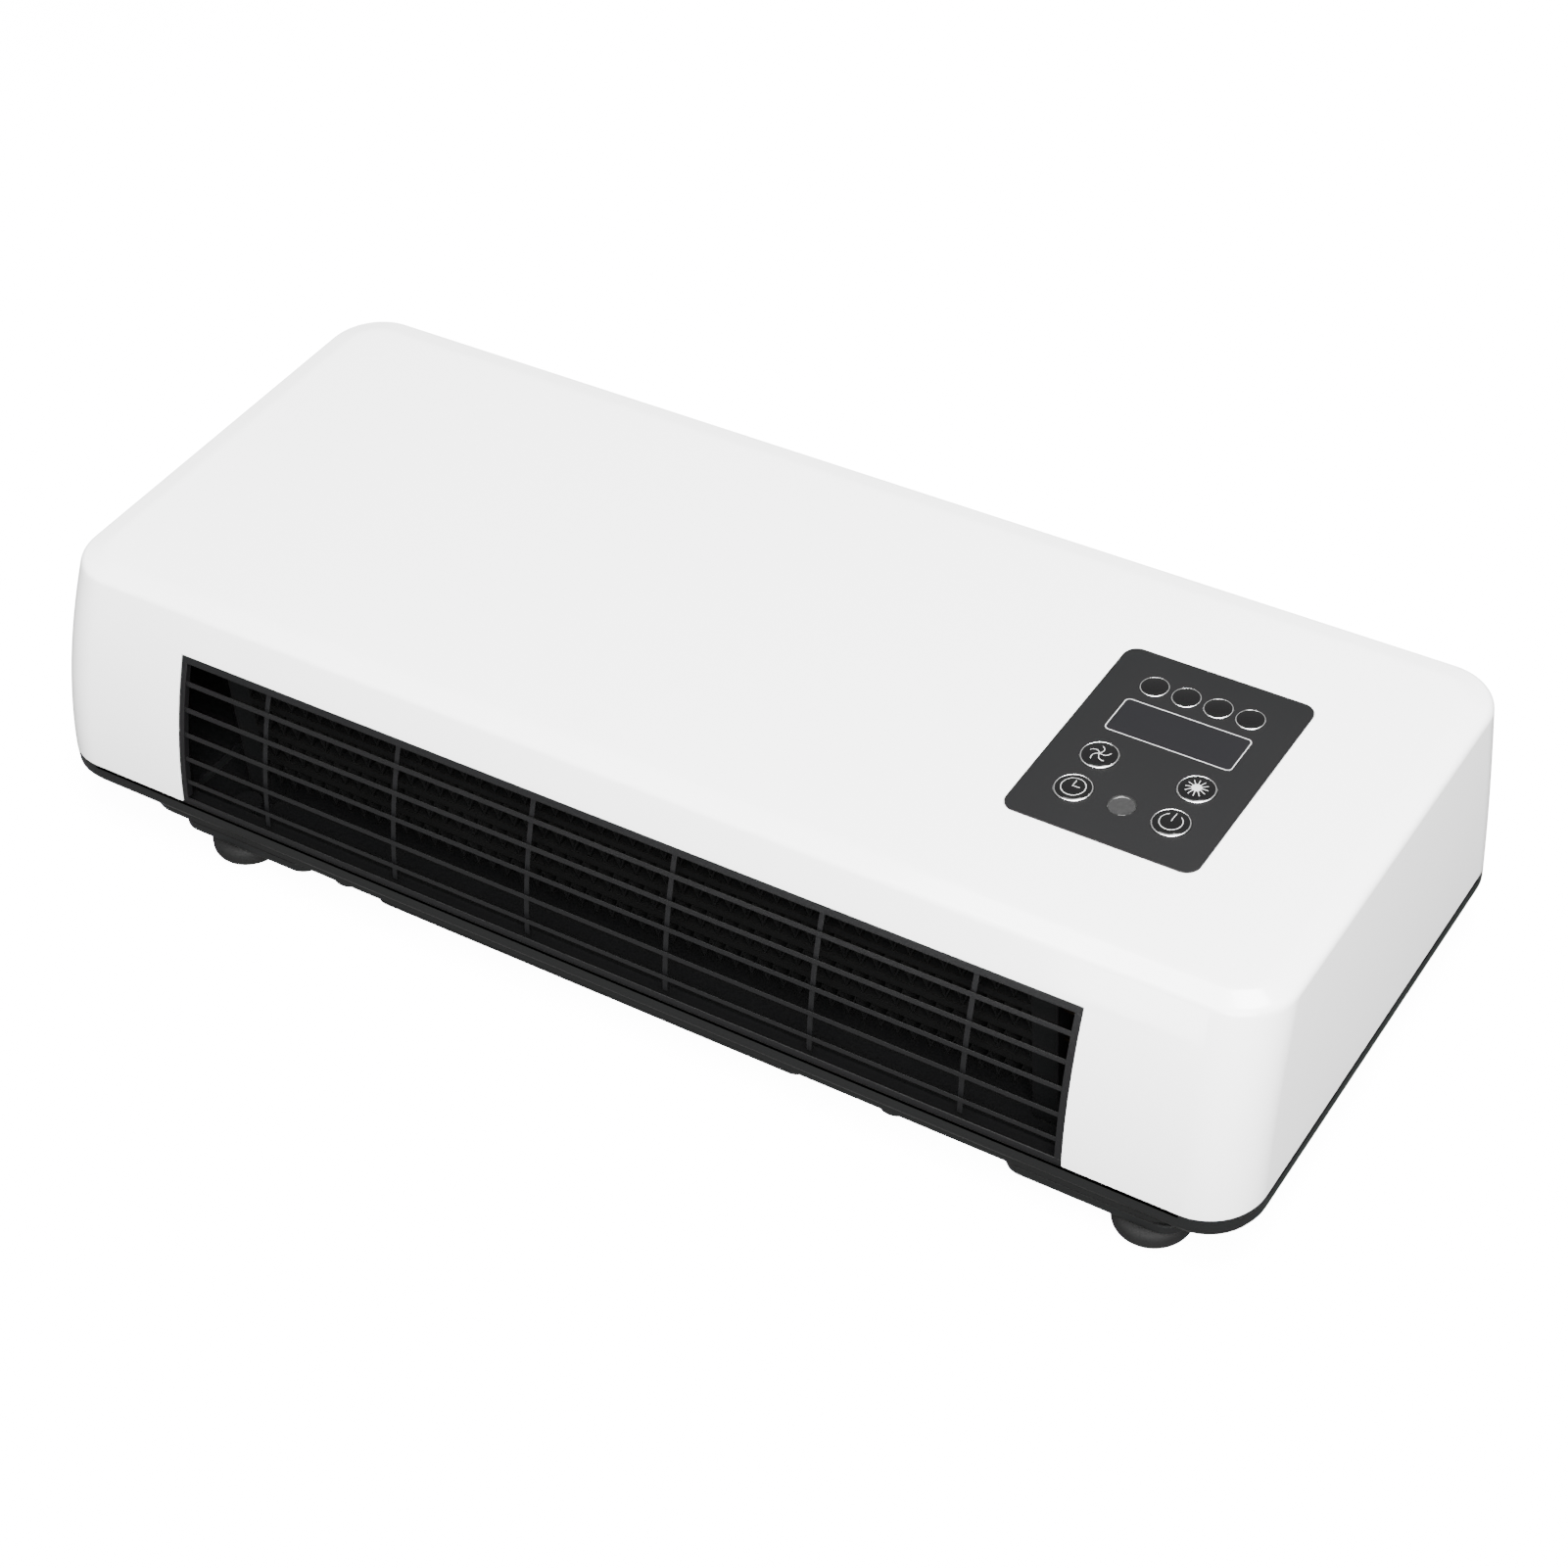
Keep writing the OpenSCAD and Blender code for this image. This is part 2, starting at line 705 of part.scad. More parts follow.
module overlay_hole() {
    translate([0, 0, seat_z - over]) children();
}

module control_overlay() {
    color([0.22, 0.22, 0.23]) difference() {
        translate([panel_x, panel_y, seat_z]) plate(panel_w, panel_l, panel_r, overlay_t);
        for (p = key_points)
            at_panel(p) overlay_hole() rod(key_r + key_gap, overlay_t + 2 * over);
        for (p = lamp_points)
            at_panel(p) overlay_hole() rod(lamp_r + run_gap, overlay_t + 2 * over);
        at_panel([0, key_lower_y]) overlay_hole() rod(infrared_r + run_gap, overlay_t + 2 * over);
        at_panel([0, display_y]) overlay_hole()
            plate(display_w + 2 * run_gap, display_l + 2 * run_gap, display_r + run_gap,
                overlay_t + 2 * over);
    }
}

module display_window() {
    color([0.15, 0.15, 0.17]) at_panel([0, display_y]) translate([0, 0, seat_z])
        plate(display_w, display_l, display_r, overlay_t);
}

// Domed disc: a straight edge and a crown that is part of a sphere
module dome(r, edge_h, rise) {
    steps = 6;
    ball_r = (r * r + rise * rise) / (2 * rise);
    rotate_extrude($fn = 64) polygon(concat([[0, 0], [r, 0]],
        [for (i = [0:steps]) let (x = r * (1 - i / steps))
            [x, edge_h - ball_r + rise + sqrt(ball_r * ball_r - x * x)]]));
}

module indicator_lenses() {
    color([0.3, 0.3, 0.32]) for (p = lamp_points)
        at_panel(p) translate([0, 0, seat_z]) dome(lamp_r, overlay_t, lens_rise);
}

module infrared_window() {
    color([0.4, 0.4, 0.4]) at_panel([0, key_lower_y]) translate([0, 0, seat_z])
        dome(infrared_r, overlay_t, infrared_rise);
}

stem_in = 0.5;
stem_gap = 0.08;

// A key: crown, guide, flange under the cover and a stem that enters its switch
module key(p) {
    flange_z = ceiling_z - seat_gap - flange_t;
    crown = key_rise / 2;
    color([0.2, 0.2, 0.21]) at_panel(p) {
        translate([0, 0, flange_z]) dome(key_r, overlay_z + key_rise - crown - flange_z, crown);
        translate([0, 0, flange_z]) rod(flange_r, flange_t);
        translate([0, 0, board_top + switch_h - stem_in])
            rod(stem_r, flange_z - board_top - switch_h + stem_in + eps);
    }
}

module fan_key() {
    key(key_points[0]);
}

module timer_key() {
    key(key_points[1]);
}

module heat_key() {
    key(key_points[2]);
}

module power_key() {
    key(key_points[3]);
}

module tact_switches() {
    color([0.15, 0.15, 0.15]) for (p = key_points)
        at_panel(p) translate([0, 0, board_top]) difference() {
            translate([-switch_size / 2, -switch_size / 2, 0]) cube([switch_size, switch_size, switch_h]);
            translate([0, 0, switch_h - switch_well]) rod(stem_r + stem_gap, switch_well + over);
        }
}

module control_board() {
    color([0.1, 0.35, 0.2]) difference() {
        at_panel([0, 0]) translate([0, 0, board_z]) plate(board_w, board_l, 2, board_t);
        for (p = board_points)
            at_panel(p) translate([0, 0, board_z - over]) rod(board_screw_r + hole_gap, board_t + 2 * over);
    }
}

module_gap = 0.5;
module_set = 0.7;

module display_module() {
    color([0.08, 0.08, 0.08]) at_panel([0, display_y]) translate([0, 0, board_top])
        plate(display_w - 2 * (display_ledge + module_set), display_l - 2 * (display_ledge + module_set),
            module_gap, seat_z - module_gap - board_top);
}

lamp_flange_r = 1.9;
lamp_flange_t = 1;
lamp_body_r = 1.5;
lamp_crown = 1.2;
lamp_gap = 0.8;

module indicator_lamps() {
    color("lightblue") for (p = lamp_points)
        at_panel(p) translate([0, 0, board_top]) {
            rod(lamp_flange_r, lamp_flange_t);
            dome(lamp_body_r, seat_z - board_top - lamp_crown - lamp_gap, lamp_crown);
        }
}

receiver_w = 6;
receiver_l = 5;
receiver_gap = 1;
receiver_h = ceiling_z - board_top - receiver_gap;
receiver_eye_r = 2.2;
receiver_eye_edge = 0.5;
receiver_eye_rise = 1;

module infrared_receiver() {
    color([0.1, 0.1, 0.1]) at_panel([0, key_lower_y]) translate([0, 0, board_top]) {
        translate([-receiver_w / 2, -receiver_l / 2, 0]) cube([receiver_w, receiver_l, receiver_h]);
        translate([0, 0, receiver_h - eps]) dome(receiver_eye_r, receiver_eye_edge, receiver_eye_rise);
    }
}

module control_board_screws() {
    color("silver") for (p = board_points)
        at_panel(p) translate([0, 0, board_z - board_head_h])
            screw(board_screw_r, board_t + board_screw_l, board_head_r, board_head_h);
}

// One blade of the cross-flow wheel, drawn about the wheel's centre
blade_sweep = 14;
blade_steps = 4;
blade_in = 0.4;
disc_rim = 2;

function blade_point(t, side) = let (r = wheel_r - blade_in - blade_depth * (1 - t),
    a = blade_sweep * t * t + side * blade_t / 2 / r * 180 / PI) [r * cos(a), r * sin(a)];

module blade() {
    polygon(concat([for (i = [0:blade_steps]) blade_point(i / blade_steps, -1)],
        [for (i = [blade_steps:-1:0]) blade_point(i / blade_steps, 1)]));
}

module fan_wheel() {
    bay = (wheel_l - disc_t) / bay_count;
    color([0.25, 0.25, 0.27]) difference() {
        union() {
            translate([-wheel_l / 2, wheel_y, wheel_z]) rotate([90, 0, 90])
                linear_extrude(wheel_l) for (b = [0:blade_count - 1])
                    rotate(b * 360 / blade_count) blade();
            for (i = [0:bay_count])
                difference() {
                    rod_x(wheel_r, -wheel_l / 2 + i * bay, disc_t);
                    if (i > 0 && i < bay_count)
                        rod_x(wheel_r - blade_depth - disc_rim, -wheel_l / 2 + i * bay - over,
                            disc_t + 2 * over);
                }
            rod_x(hub_r, -wheel_l / 2, hub_l);
            rod_x(hub_r, wheel_l / 2 - hub_l, hub_l);
        }
        rod_x(shaft_r + press_gap, -wheel_l / 2 - over, wheel_l + 2 * over);
    }
}

module fan_shaft() {
    color("silver") rod_x(shaft_r, motor_back - rotor_over, cheek_x + shaft_end - motor_back + rotor_over);
}

module motor_rotor() {
    color([0.5, 0.5, 0.52]) difference() {
        rod_x(stator_bore - air_gap, stator_x - rotor_over, stator_l + 2 * rotor_over);
        rod_x(shaft_r + press_gap, stator_x - rotor_over - over, stator_l + 2 * (rotor_over + over));
    }
}

module motor_stator() {
    color([0.45, 0.45, 0.48]) difference() {
        rod_x(stator_r, stator_x, stator_l);
        rod_x(stator_bore, stator_x - over, stator_l + 2 * over);
    }
}

winding_set = 1.5;
winding_in = 0.6;

module motor_windings() {
    color([0.72, 0.4, 0.2]) for (x = [stator_x - winding_l, stator_x + stator_l])
        difference() {
            rod_x(stator_r - winding_set, x, winding_l);
            rod_x(stator_bore + winding_in, x - over, winding_l + 2 * over);
        }
}

// A cup that holds one half of the stator and carries the shaft; side is 1 for the front
module bell(side, x) {
    cup_l = stator_l / 2 + winding_l + winding_gap;
    color([0.6, 0.6, 0.62]) difference() {
        rod_x(motor_r, side > 0 ? x - cup_l : x, cup_l + bell_t);
        rod_x(stator_r + run_gap, side > 0 ? x - cup_l - over : x + bell_t, cup_l + over);
        rod_x(shaft_r + run_gap, x - over, bell_t + 2 * over);
    }
}

module motor_front_bell() {
    bell(1, motor_face - bell_t);
}

module motor_rear_bell() {
    bell(-1, motor_back);
}

bush_r = 5;
bush_l = 8;
holder_r = 8;
holder_lip = 2;
holder_t = 1.5;

module fan_bush() {
    color([0.75, 0.6, 0.35]) difference() {
        rod_x(bush_r, cheek_x - cheek_t / 2 - bush_l / 2, bush_l);
        rod_x(shaft_r + run_gap, cheek_x - bush_l, 2 * bush_l);
    }
}

module bush_holder() {
    x = cheek_x - cheek_t;
    color([0.12, 0.12, 0.12]) difference() {
        union() {
            rod_x(holder_r - run_gap, x - holder_t, cheek_t + 2 * holder_t);
            rod_x(holder_r + holder_lip, x - holder_t, holder_t);
            rod_x(holder_r + holder_lip, x + cheek_t, holder_t);
        }
        rod_x(bush_r + press_gap, x - holder_t - over, cheek_t + 2 * (holder_t + over));
    }
}

// Duct section, drawn in Y and Z: a scroll behind the wheel that runs into a flat roof
scroll_from = -28;
scroll_steps = 14;

function scroll_r(a) =
    wheel_r + scroll_gap + (duct_gap - scroll_gap) * (a - scroll_from) / (90 - scroll_from);
function scroll_point(i, more) = let (a = scroll_from + (90 - scroll_from) * i / scroll_steps)
    [wheel_y + (scroll_r(a) + more) * cos(a), wheel_z + (scroll_r(a) + more) * sin(a)];

module scroll_section() {
    polygon(concat([for (i = [0:scroll_steps]) scroll_point(i, 0)], [[core_back_y, roof_z]],
        [[core_back_y, roof_z + duct_t]], [for (i = [scroll_steps:-1:0]) scroll_point(i, duct_t)]));
}

cheek_back = 4;
cheek_corner = 18;

module cheek_section() {
    y1 = scroll_point(0, duct_t)[0] + cheek_back;
    difference() {
        translate([core_back_y, floor_z]) square([y1 - core_back_y, roof_z + duct_t - floor_z]);
        translate([y1, roof_z + duct_t]) rotate(45) square([cheek_corner, cheek_corner], center = true);
    }
}

hub_hole_gap = 4;

module air_duct() {
    color([0.2, 0.2, 0.21]) difference() {
        union() {
            along_x(-cheek_x, 2 * cheek_x) scroll_section();
            for (x = [-cheek_x, cheek_x - cheek_t])
                along_x(x, cheek_t) cheek_section();
        }
        rod_x(hub_r + hub_hole_gap, -cheek_x - over, cheek_t + 2 * over);
        rod_x(holder_r, cheek_x - cheek_t - over, cheek_t + 2 * over);
    }
}

tongue_angle = 215;
tongue_t = 1.6;

module duct_tongue() {
    tip_r = wheel_r + scroll_gap;
    tip = [wheel_y + tip_r * cos(tongue_angle), wheel_z + tip_r * sin(tongue_angle)];
    color([0.2, 0.2, 0.21]) along_x(-cheek_x + cheek_t, 2 * (cheek_x - cheek_t))
        polygon([[core_back_y, core_z - tongue_t], [tip[0] - tongue_t, tip[1] - 2 * tongue_t],
            [tip[0] - tongue_t, floor_z], [tip[0], floor_z], tip, [core_back_y, core_z]]);
}

// Heating core: flat elements with folded fins between them
core_h = roof_z - core_z;
fin_h = (core_h - element_count * element_t) / (element_count + 1);
fold_count = floor(core_l / fin_pitch);
fin_rise = 1.5;

function row_z(i) = core_z + i * (fin_h + element_t);

module heating_elements() {
    color([0.7, 0.7, 0.72]) for (i = [0:element_count - 1])
        translate([-core_l / 2, core_front_y, row_z(i) + fin_h]) cube([core_l, core_d, element_t]);
}

module fin_row(z) {
    x0 = -fold_count * fin_pitch / 2;
    low = [for (i = [0:2 * fold_count]) [x0 + i * fin_pitch / 2, i % 2 == 0 ? 0 : fin_h - fin_rise]];
    high = [for (i = [2 * fold_count:-1:0]) [low[i][0], low[i][1] + fin_rise]];
    translate([0, core_back_y, z]) rotate([90, 0, 0]) linear_extrude(core_d) polygon(concat(low, high));
}

module heating_fins() {
    color([0.75, 0.75, 0.77]) for (i = [0:element_count])
        fin_row(row_z(i));
}

end_block_l = 9;

module heater_end_blocks() {
    color([0.3, 0.3, 0.3]) for (x = [-core_l / 2 - end_block_l, core_l / 2])
        translate([x, core_front_y, floor_z]) cube([end_block_l, core_d, roof_z + duct_t - floor_z]);
}

tab_l = 8;
tab_w = 6;
tab_t = 0.8;

module heater_terminals() {
    color("gold") for (i = [0:element_count - 1])
        translate([core_l / 2 + end_block_l, core_front_y + (core_d - tab_w) / 2,
            row_z(i) + fin_h + (element_t - tab_t) / 2])
            cube([tab_l, tab_w, tab_t]);
}

guard_y = core_back_y + 14;
guard_z = roof_z + duct_t;
thermostat_x = -40;
thermostat_r = 7;
thermostat_h = 6;
thermostat_ear = 11;
blade_tab_h = 4;
blade_tab_w = 5;

module thermostat() {
    color([0.85, 0.82, 0.75]) translate([thermostat_x, guard_y, guard_z]) {
        rod(thermostat_r, thermostat_h);
        translate([-thermostat_ear, -tab_w / 2, 0]) cube([2 * thermostat_ear, tab_w, 1]);
        for (sx = [-1, 1])
            translate([sx * thermostat_r / 2 - tab_t / 2, -blade_tab_w / 2, thermostat_h - eps])
                cube([tab_t, blade_tab_w, blade_tab_h]);
    }
}

fuse_x = 20;
fuse_r = 2;
fuse_l = 12;
fuse_wire_r = 0.5;
fuse_wire_l = 10;

module thermal_fuse() {
    color("white") translate([fuse_x, guard_y, guard_z + fuse_r]) rotate([0, 90, 0]) {
        rod(fuse_r, fuse_l);
        translate([0, 0, -fuse_wire_l]) rod(fuse_wire_r, fuse_l + 2 * fuse_wire_l);
    }
}

module power_board() {
    color([0.1, 0.35, 0.2]) difference() {
        translate([supply_x, supply_y, supply_z]) plate(supply_w, supply_l, 2, board_t);
        for (p = supply_points)
            translate([p[0], p[1], supply_z - over]) rod(board_screw_r + hole_gap, board_t + 2 * over);
    }
}

module power_board_screws() {
    color("silver") for (p = supply_points)
        translate([p[0], p[1], supply_top + board_head_h]) mirror([0, 0, 1])
            screw(board_screw_r, board_t + board_screw_l, board_head_r, board_head_h);
}

module relays() {
    color([0.1, 0.25, 0.5]) for (i = [0:relay_count - 1])
        translate([supply_left + row_start + i * (relay_l + part_gap),
            supply_y - relay_w / 2 + relay_shift, supply_top])
            cube([relay_l, relay_w, relay_h]);
}

module transformer() {
    color([0.8, 0.75, 0.3]) translate([trafo_x, trafo_y, supply_top]) cube([trafo_l, trafo_w, trafo_h]);
}

module capacitor() {
    color([0.15, 0.15, 0.2])
        translate([trafo_x + trafo_l / 2, trafo_y + trafo_w + capacitor_gap + capacitor_r, supply_top])
            rod(capacitor_r, capacitor_h);
}

module terminal_block() {
    color([0.2, 0.5, 0.3]) translate([terminal_x, supply_y - terminal_w / 2, supply_top]) difference() {
        cube([terminal_l, terminal_w, terminal_h]);
        for (i = [-1:1])
            translate([terminal_l / 2, terminal_w / 2 + i * terminal_pitch, terminal_floor])
                rod(terminal_bore, terminal_h);
    }
}

front_cover();
base_tray();
outlet_grille();
rubber_feet();
foot_screws();
control_overlay();
display_window();
indicator_lenses();
infrared_window();
fan_key();
timer_key();
heat_key();
power_key();
tact_switches();
control_board();
display_module();
indicator_lamps();
infrared_receiver();
control_board_screws();
fan_wheel();
fan_shaft();
motor_rotor();
motor_stator();
motor_windings();
motor_front_bell();
motor_rear_bell();
fan_bush();
bush_holder();
air_duct();
duct_tongue();
heating_elements();
heating_fins();
heater_end_blocks();
heater_terminals();
thermostat();
thermal_fuse();
power_board();
power_board_screws();
relays();
capacitor();
transformer();
terminal_block();
cable_gland();
cover_screws();
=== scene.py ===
import math

import bmesh
import bpy
from bpy.props import FloatProperty, FloatVectorProperty, PointerProperty
from mathutils import Matrix, Vector


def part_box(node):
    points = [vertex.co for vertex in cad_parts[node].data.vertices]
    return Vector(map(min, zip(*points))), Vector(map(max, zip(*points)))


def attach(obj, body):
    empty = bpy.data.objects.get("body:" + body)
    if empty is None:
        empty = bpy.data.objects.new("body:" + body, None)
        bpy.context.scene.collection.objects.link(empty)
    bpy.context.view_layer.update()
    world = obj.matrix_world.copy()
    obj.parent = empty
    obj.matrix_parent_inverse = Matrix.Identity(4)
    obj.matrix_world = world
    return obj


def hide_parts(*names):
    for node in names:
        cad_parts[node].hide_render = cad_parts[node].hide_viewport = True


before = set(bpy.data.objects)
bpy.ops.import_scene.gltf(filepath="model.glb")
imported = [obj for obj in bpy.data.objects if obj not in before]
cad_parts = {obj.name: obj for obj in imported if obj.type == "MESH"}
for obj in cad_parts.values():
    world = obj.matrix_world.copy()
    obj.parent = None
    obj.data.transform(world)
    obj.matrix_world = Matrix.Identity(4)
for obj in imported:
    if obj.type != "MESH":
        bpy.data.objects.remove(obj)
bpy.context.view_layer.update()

bl_info = {
    "name": "Wall Fan Heater",
    "version": (1, 0, 0),
    "blender": (4, 5, 0),
    "location": "View3D > Sidebar > Heater",
    "description": "Dresses a wall-mounted ceramic fan heater in its finished surfaces",
    "category": "Object",
}

MM = 0.001
HOUSING = "housing"

# Boxes and places read from the fixed frame, in metres
COVER_LOW, COVER_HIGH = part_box("front_cover")
OVERLAY_LOW, OVERLAY_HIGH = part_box("control_overlay")
WINDOW_LOW, WINDOW_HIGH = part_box("display_window")
LENS_LOW, LENS_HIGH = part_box("indicator_lenses")
INFRARED_LOW, INFRARED_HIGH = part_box("infrared_window")
GRILLE_LOW, GRILLE_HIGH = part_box("outlet_grille")
BODY_LENGTH = COVER_HIGH.x - COVER_LOW.x
BODY_WIDTH = COVER_HIGH.y - COVER_LOW.y
COVER_HEIGHT = COVER_HIGH.z - COVER_LOW.z
PANEL_TOP = OVERLAY_HIGH.z
KEYS = {f"{use}_key": f"{use}_button" for use in ("fan", "timer", "heat", "power")}


def in_millimetres(name, description, value):
    return FloatProperty(name=name, description=description, default=value * MM, unit="LENGTH")


def colour_of(name, description, *value):
    return FloatVectorProperty(name=name, description=description, subtype="COLOR", size=3, default=value,
                               min=0, max=1)


class HeaterSizes(bpy.types.PropertyGroup):
    corner: in_millimetres("Corner", "Corner radius of the cover seen from the front", 19.5)
    wall: in_millimetres("Wall", "Wall thickness of the cover", 2.5)
    top_round: in_millimetres("Top rounding", "Radius between the walls and the bevel", 3)
    bevel_width: in_millimetres("Bevel width", "Width of the shallow bevel round the front face", 5)
    bevel_angle: FloatProperty(name="Bevel angle", description="Lean of the shallow bevel",
                               default=math.radians(12), unit="ROTATION")
    bevel_blend: in_millimetres("Bevel blend", "Radius from the front face into the bevel", 15)
    front_lean: in_millimetres("Outlet lean", "Straight set-back of the outlet wall at the top", 6.8)
    front_bow: in_millimetres("Outlet bow", "Curved set-back of the outlet wall at the top", 15)
    end_bow: in_millimetres("End bow", "Set-back of the end walls at the top", 1.9)
    back_lean: in_millimetres("Back lean", "Set-back of the back wall at the top", 1.0)
    outlet_width: in_millimetres("Outlet width", "Width of the air outlet", 342.5)
    outlet_height: in_millimetres("Outlet height", "Height of the air outlet above the cover's edge", 55)
    edge_round: in_millimetres("Edge rounding", "Rounding of moulded edges", 0.35)
    print_height: in_millimetres("Print height", "Height of the white print above its surface", 0.03)
    ring_width: in_millimetres("Ring width", "Width of the ring round a key", 0.55)


class HeaterColours(bpy.types.PropertyGroup):
    cover: colour_of("Cover", "Colour of the cover", 0.85, 0.85, 0.85)
    base: colour_of("Base", "Colour of the base", 0.0052, 0.0054, 0.0055)
    grille: colour_of("Grille", "Colour of the outlet grille", 0.0030, 0.0030, 0.0033)
    overlay: colour_of("Overlay", "Colour of the control overlay", 0.0048, 0.0048, 0.0050)
    symbols: colour_of("Symbols", "Colour of the printed symbols", 0.33, 0.33, 0.33)


# Shared surface effects, each a node group that puts out colours, values and heights

def new_group(name, inputs, *outputs):
    """A node group: its tree, the sockets it is given, a vector first, and the sockets it puts out."""
    group = bpy.data.node_groups.new(name, "ShaderNodeTree")
    group.interface.new_socket(name="Vector", in_out="INPUT", socket_type="NodeSocketVector")
    for title, value in inputs.items():
        kind = "Float" if isinstance(value, float) else {3: "Vector", 4: "Color"}[len(value)]
        socket = group.interface.new_socket(name=title, in_out="INPUT", socket_type="NodeSocket" + kind)
        socket.default_value = value
    for title in outputs:
        kind = "Color" if title == "Colour" else "Float"
        group.interface.new_socket(name=title, in_out="OUTPUT", socket_type="NodeSocket" + kind)
    return group, group.nodes.new("NodeGroupInput").outputs, group.nodes.new("NodeGroupOutput").inputs


def feed(tree, value, socket):
    """Links a socket to an input, or sets the input to a number."""
    if isinstance(value, bpy.types.NodeSocket):
        tree.links.new(value, socket)
    else:
        socket.default_value = value


def noise(tree, vector, detail, scale=1.0):
    node = tree.nodes.new("ShaderNodeTexNoise")
    node.inputs["Detail"].default_value = detail
    feed(tree, scale, node.inputs["Scale"])
    tree.links.new(vector, node.inputs["Vector"])
    return node.outputs["Fac"]


def maths(tree, operation, *values):
    """The result of a Math node that is fed sockets and numbers."""
    node = tree.nodes.new("ShaderNodeMath")
    node.operation = operation
    for value, socket in zip(values, node.inputs):
        feed(tree, value, socket)
    return node.outputs[0]


def spread(tree, factor, base, amount):
    """base plus amount times how far factor lies from its middle."""
    return maths(tree, "MULTIPLY_ADD", maths(tree, "SUBTRACT", factor, 0.5), amount, base)


def shade_colour(tree, colour, shade, result):
    """Puts out a colour times a shade."""
    node = tree.nodes.new("ShaderNodeVectorMath")
    node.operation = "SCALE"
    tree.links.new(colour, node.inputs[0])
    tree.links.new(shade, node.inputs["Scale"])
    tree.links.new(node.outputs[0], result)


def build_moulded_group():
    """Moulded plastic: a fine grain, and a broad drift of shade and gloss."""
    group, given, result = new_group(
        "Moulded surface",
        {"Colour": (0.5, 0.5, 0.5, 1), "Roughness": 0.4, "Gloss drift": 0.08, "Shade drift": 0.06,
         "Grain scale": 2500.0, "Drift scale": 25.0}, "Colour", "Roughness", "Height")
    grain = noise(group, given["Vector"], 3.0, given["Grain scale"])
    drift = noise(group, given["Vector"], 4.0, given["Drift scale"])
    shade_colour(group, given["Colour"], spread(group, drift, 1.0, given["Shade drift"]), result["Colour"])
    group.links.new(spread(group, drift, given["Roughness"], given["Gloss drift"]), result["Roughness"])
    group.links.new(grain, result["Height"])
    return group


def build_brushed_group():
    """Drawn or ground metal: long fine scratches along one axis."""
    contrast = 0.25
    group, given, result = new_group(
        "Brushed surface",
        {"Colour": (0.6, 0.6, 0.6, 1), "Roughness": 0.3, "Stretch": (60.0, 2500.0, 2500.0)},
        "Colour", "Roughness", "Height")
    stretch = group.nodes.new("ShaderNodeVectorMath")
    stretch.operation = "MULTIPLY"
    group.links.new(given["Vector"], stretch.inputs[0])
    group.links.new(given["Stretch"], stretch.inputs[1])
    scratches = noise(group, stretch.outputs[0], 3.0)
    shade_colour(group, given["Colour"], spread(group, scratches, 1.0, contrast), result["Colour"])
    group.links.new(spread(group, scratches, given["Roughness"], contrast), result["Roughness"])
    group.links.new(scratches, result["Height"])
    return group


def build_tracks_group():
    """Circuit board: tracks under the solder mask as bands in two directions."""
    group, given, result = new_group(
        "Board tracks",
        {"Mask": (0.02, 0.12, 0.05, 1), "Track": (0.05, 0.22, 0.09, 1), "Pitch": 320.0}, "Colour", "Height")
    bricks = group.nodes.new("ShaderNodeTexBrick")
    bricks.inputs["Mortar Size"].default_value = 0.06
    group.links.new(given["Vector"], bricks.inputs["Vector"])
    group.links.new(given["Pitch"], bricks.inputs["Scale"])
    mix = group.nodes.new("ShaderNodeMix")
    mix.data_type = "RGBA"
    first_colour, second_colour, mixed_colour = mix.inputs[6], mix.inputs[7], mix.outputs[2]
    group.links.new(bricks.outputs["Fac"], mix.inputs["Factor"])
    group.links.new(given["Mask"], first_colour)
    group.links.new(given["Track"], second_colour)
    group.links.new(mixed_colour, result["Colour"])
    group.links.new(bricks.outputs["Fac"], result["Height"])
    return group


def build_winding_group():
    """Wound wire: bands that follow the turns, with a small shift of shade."""
    group, given, result = new_group("Wound wire", {"Colour": (0.6, 0.3, 0.1, 1), "Turns": 900.0},
                                     "Colour", "Height")
    wave = group.nodes.new("ShaderNodeTexWave")
    wave.wave_type = "BANDS"
    wave.bands_direction = "X"
    wave.inputs["Distortion"].default_value = 0.6
    group.links.new(given["Vector"], wave.inputs["Vector"])
    group.links.new(given["Turns"], wave.inputs["Scale"])
    shade = group.nodes.new("ShaderNodeMapRange")
    shade.inputs["To Min"].default_value = 0.55
    shade.inputs["To Max"].default_value = 1.0
    group.links.new(wave.outputs["Fac"], shade.inputs["Value"])
    shade_colour(group, given["Colour"], shade.outputs[0], result["Colour"])
    group.links.new(wave.outputs["Fac"], result["Height"])
    return group


GROUPS = {"Moulded surface": build_moulded_group, "Brushed surface": build_brushed_group,
          "Board tracks": build_tracks_group, "Wound wire": build_winding_group}


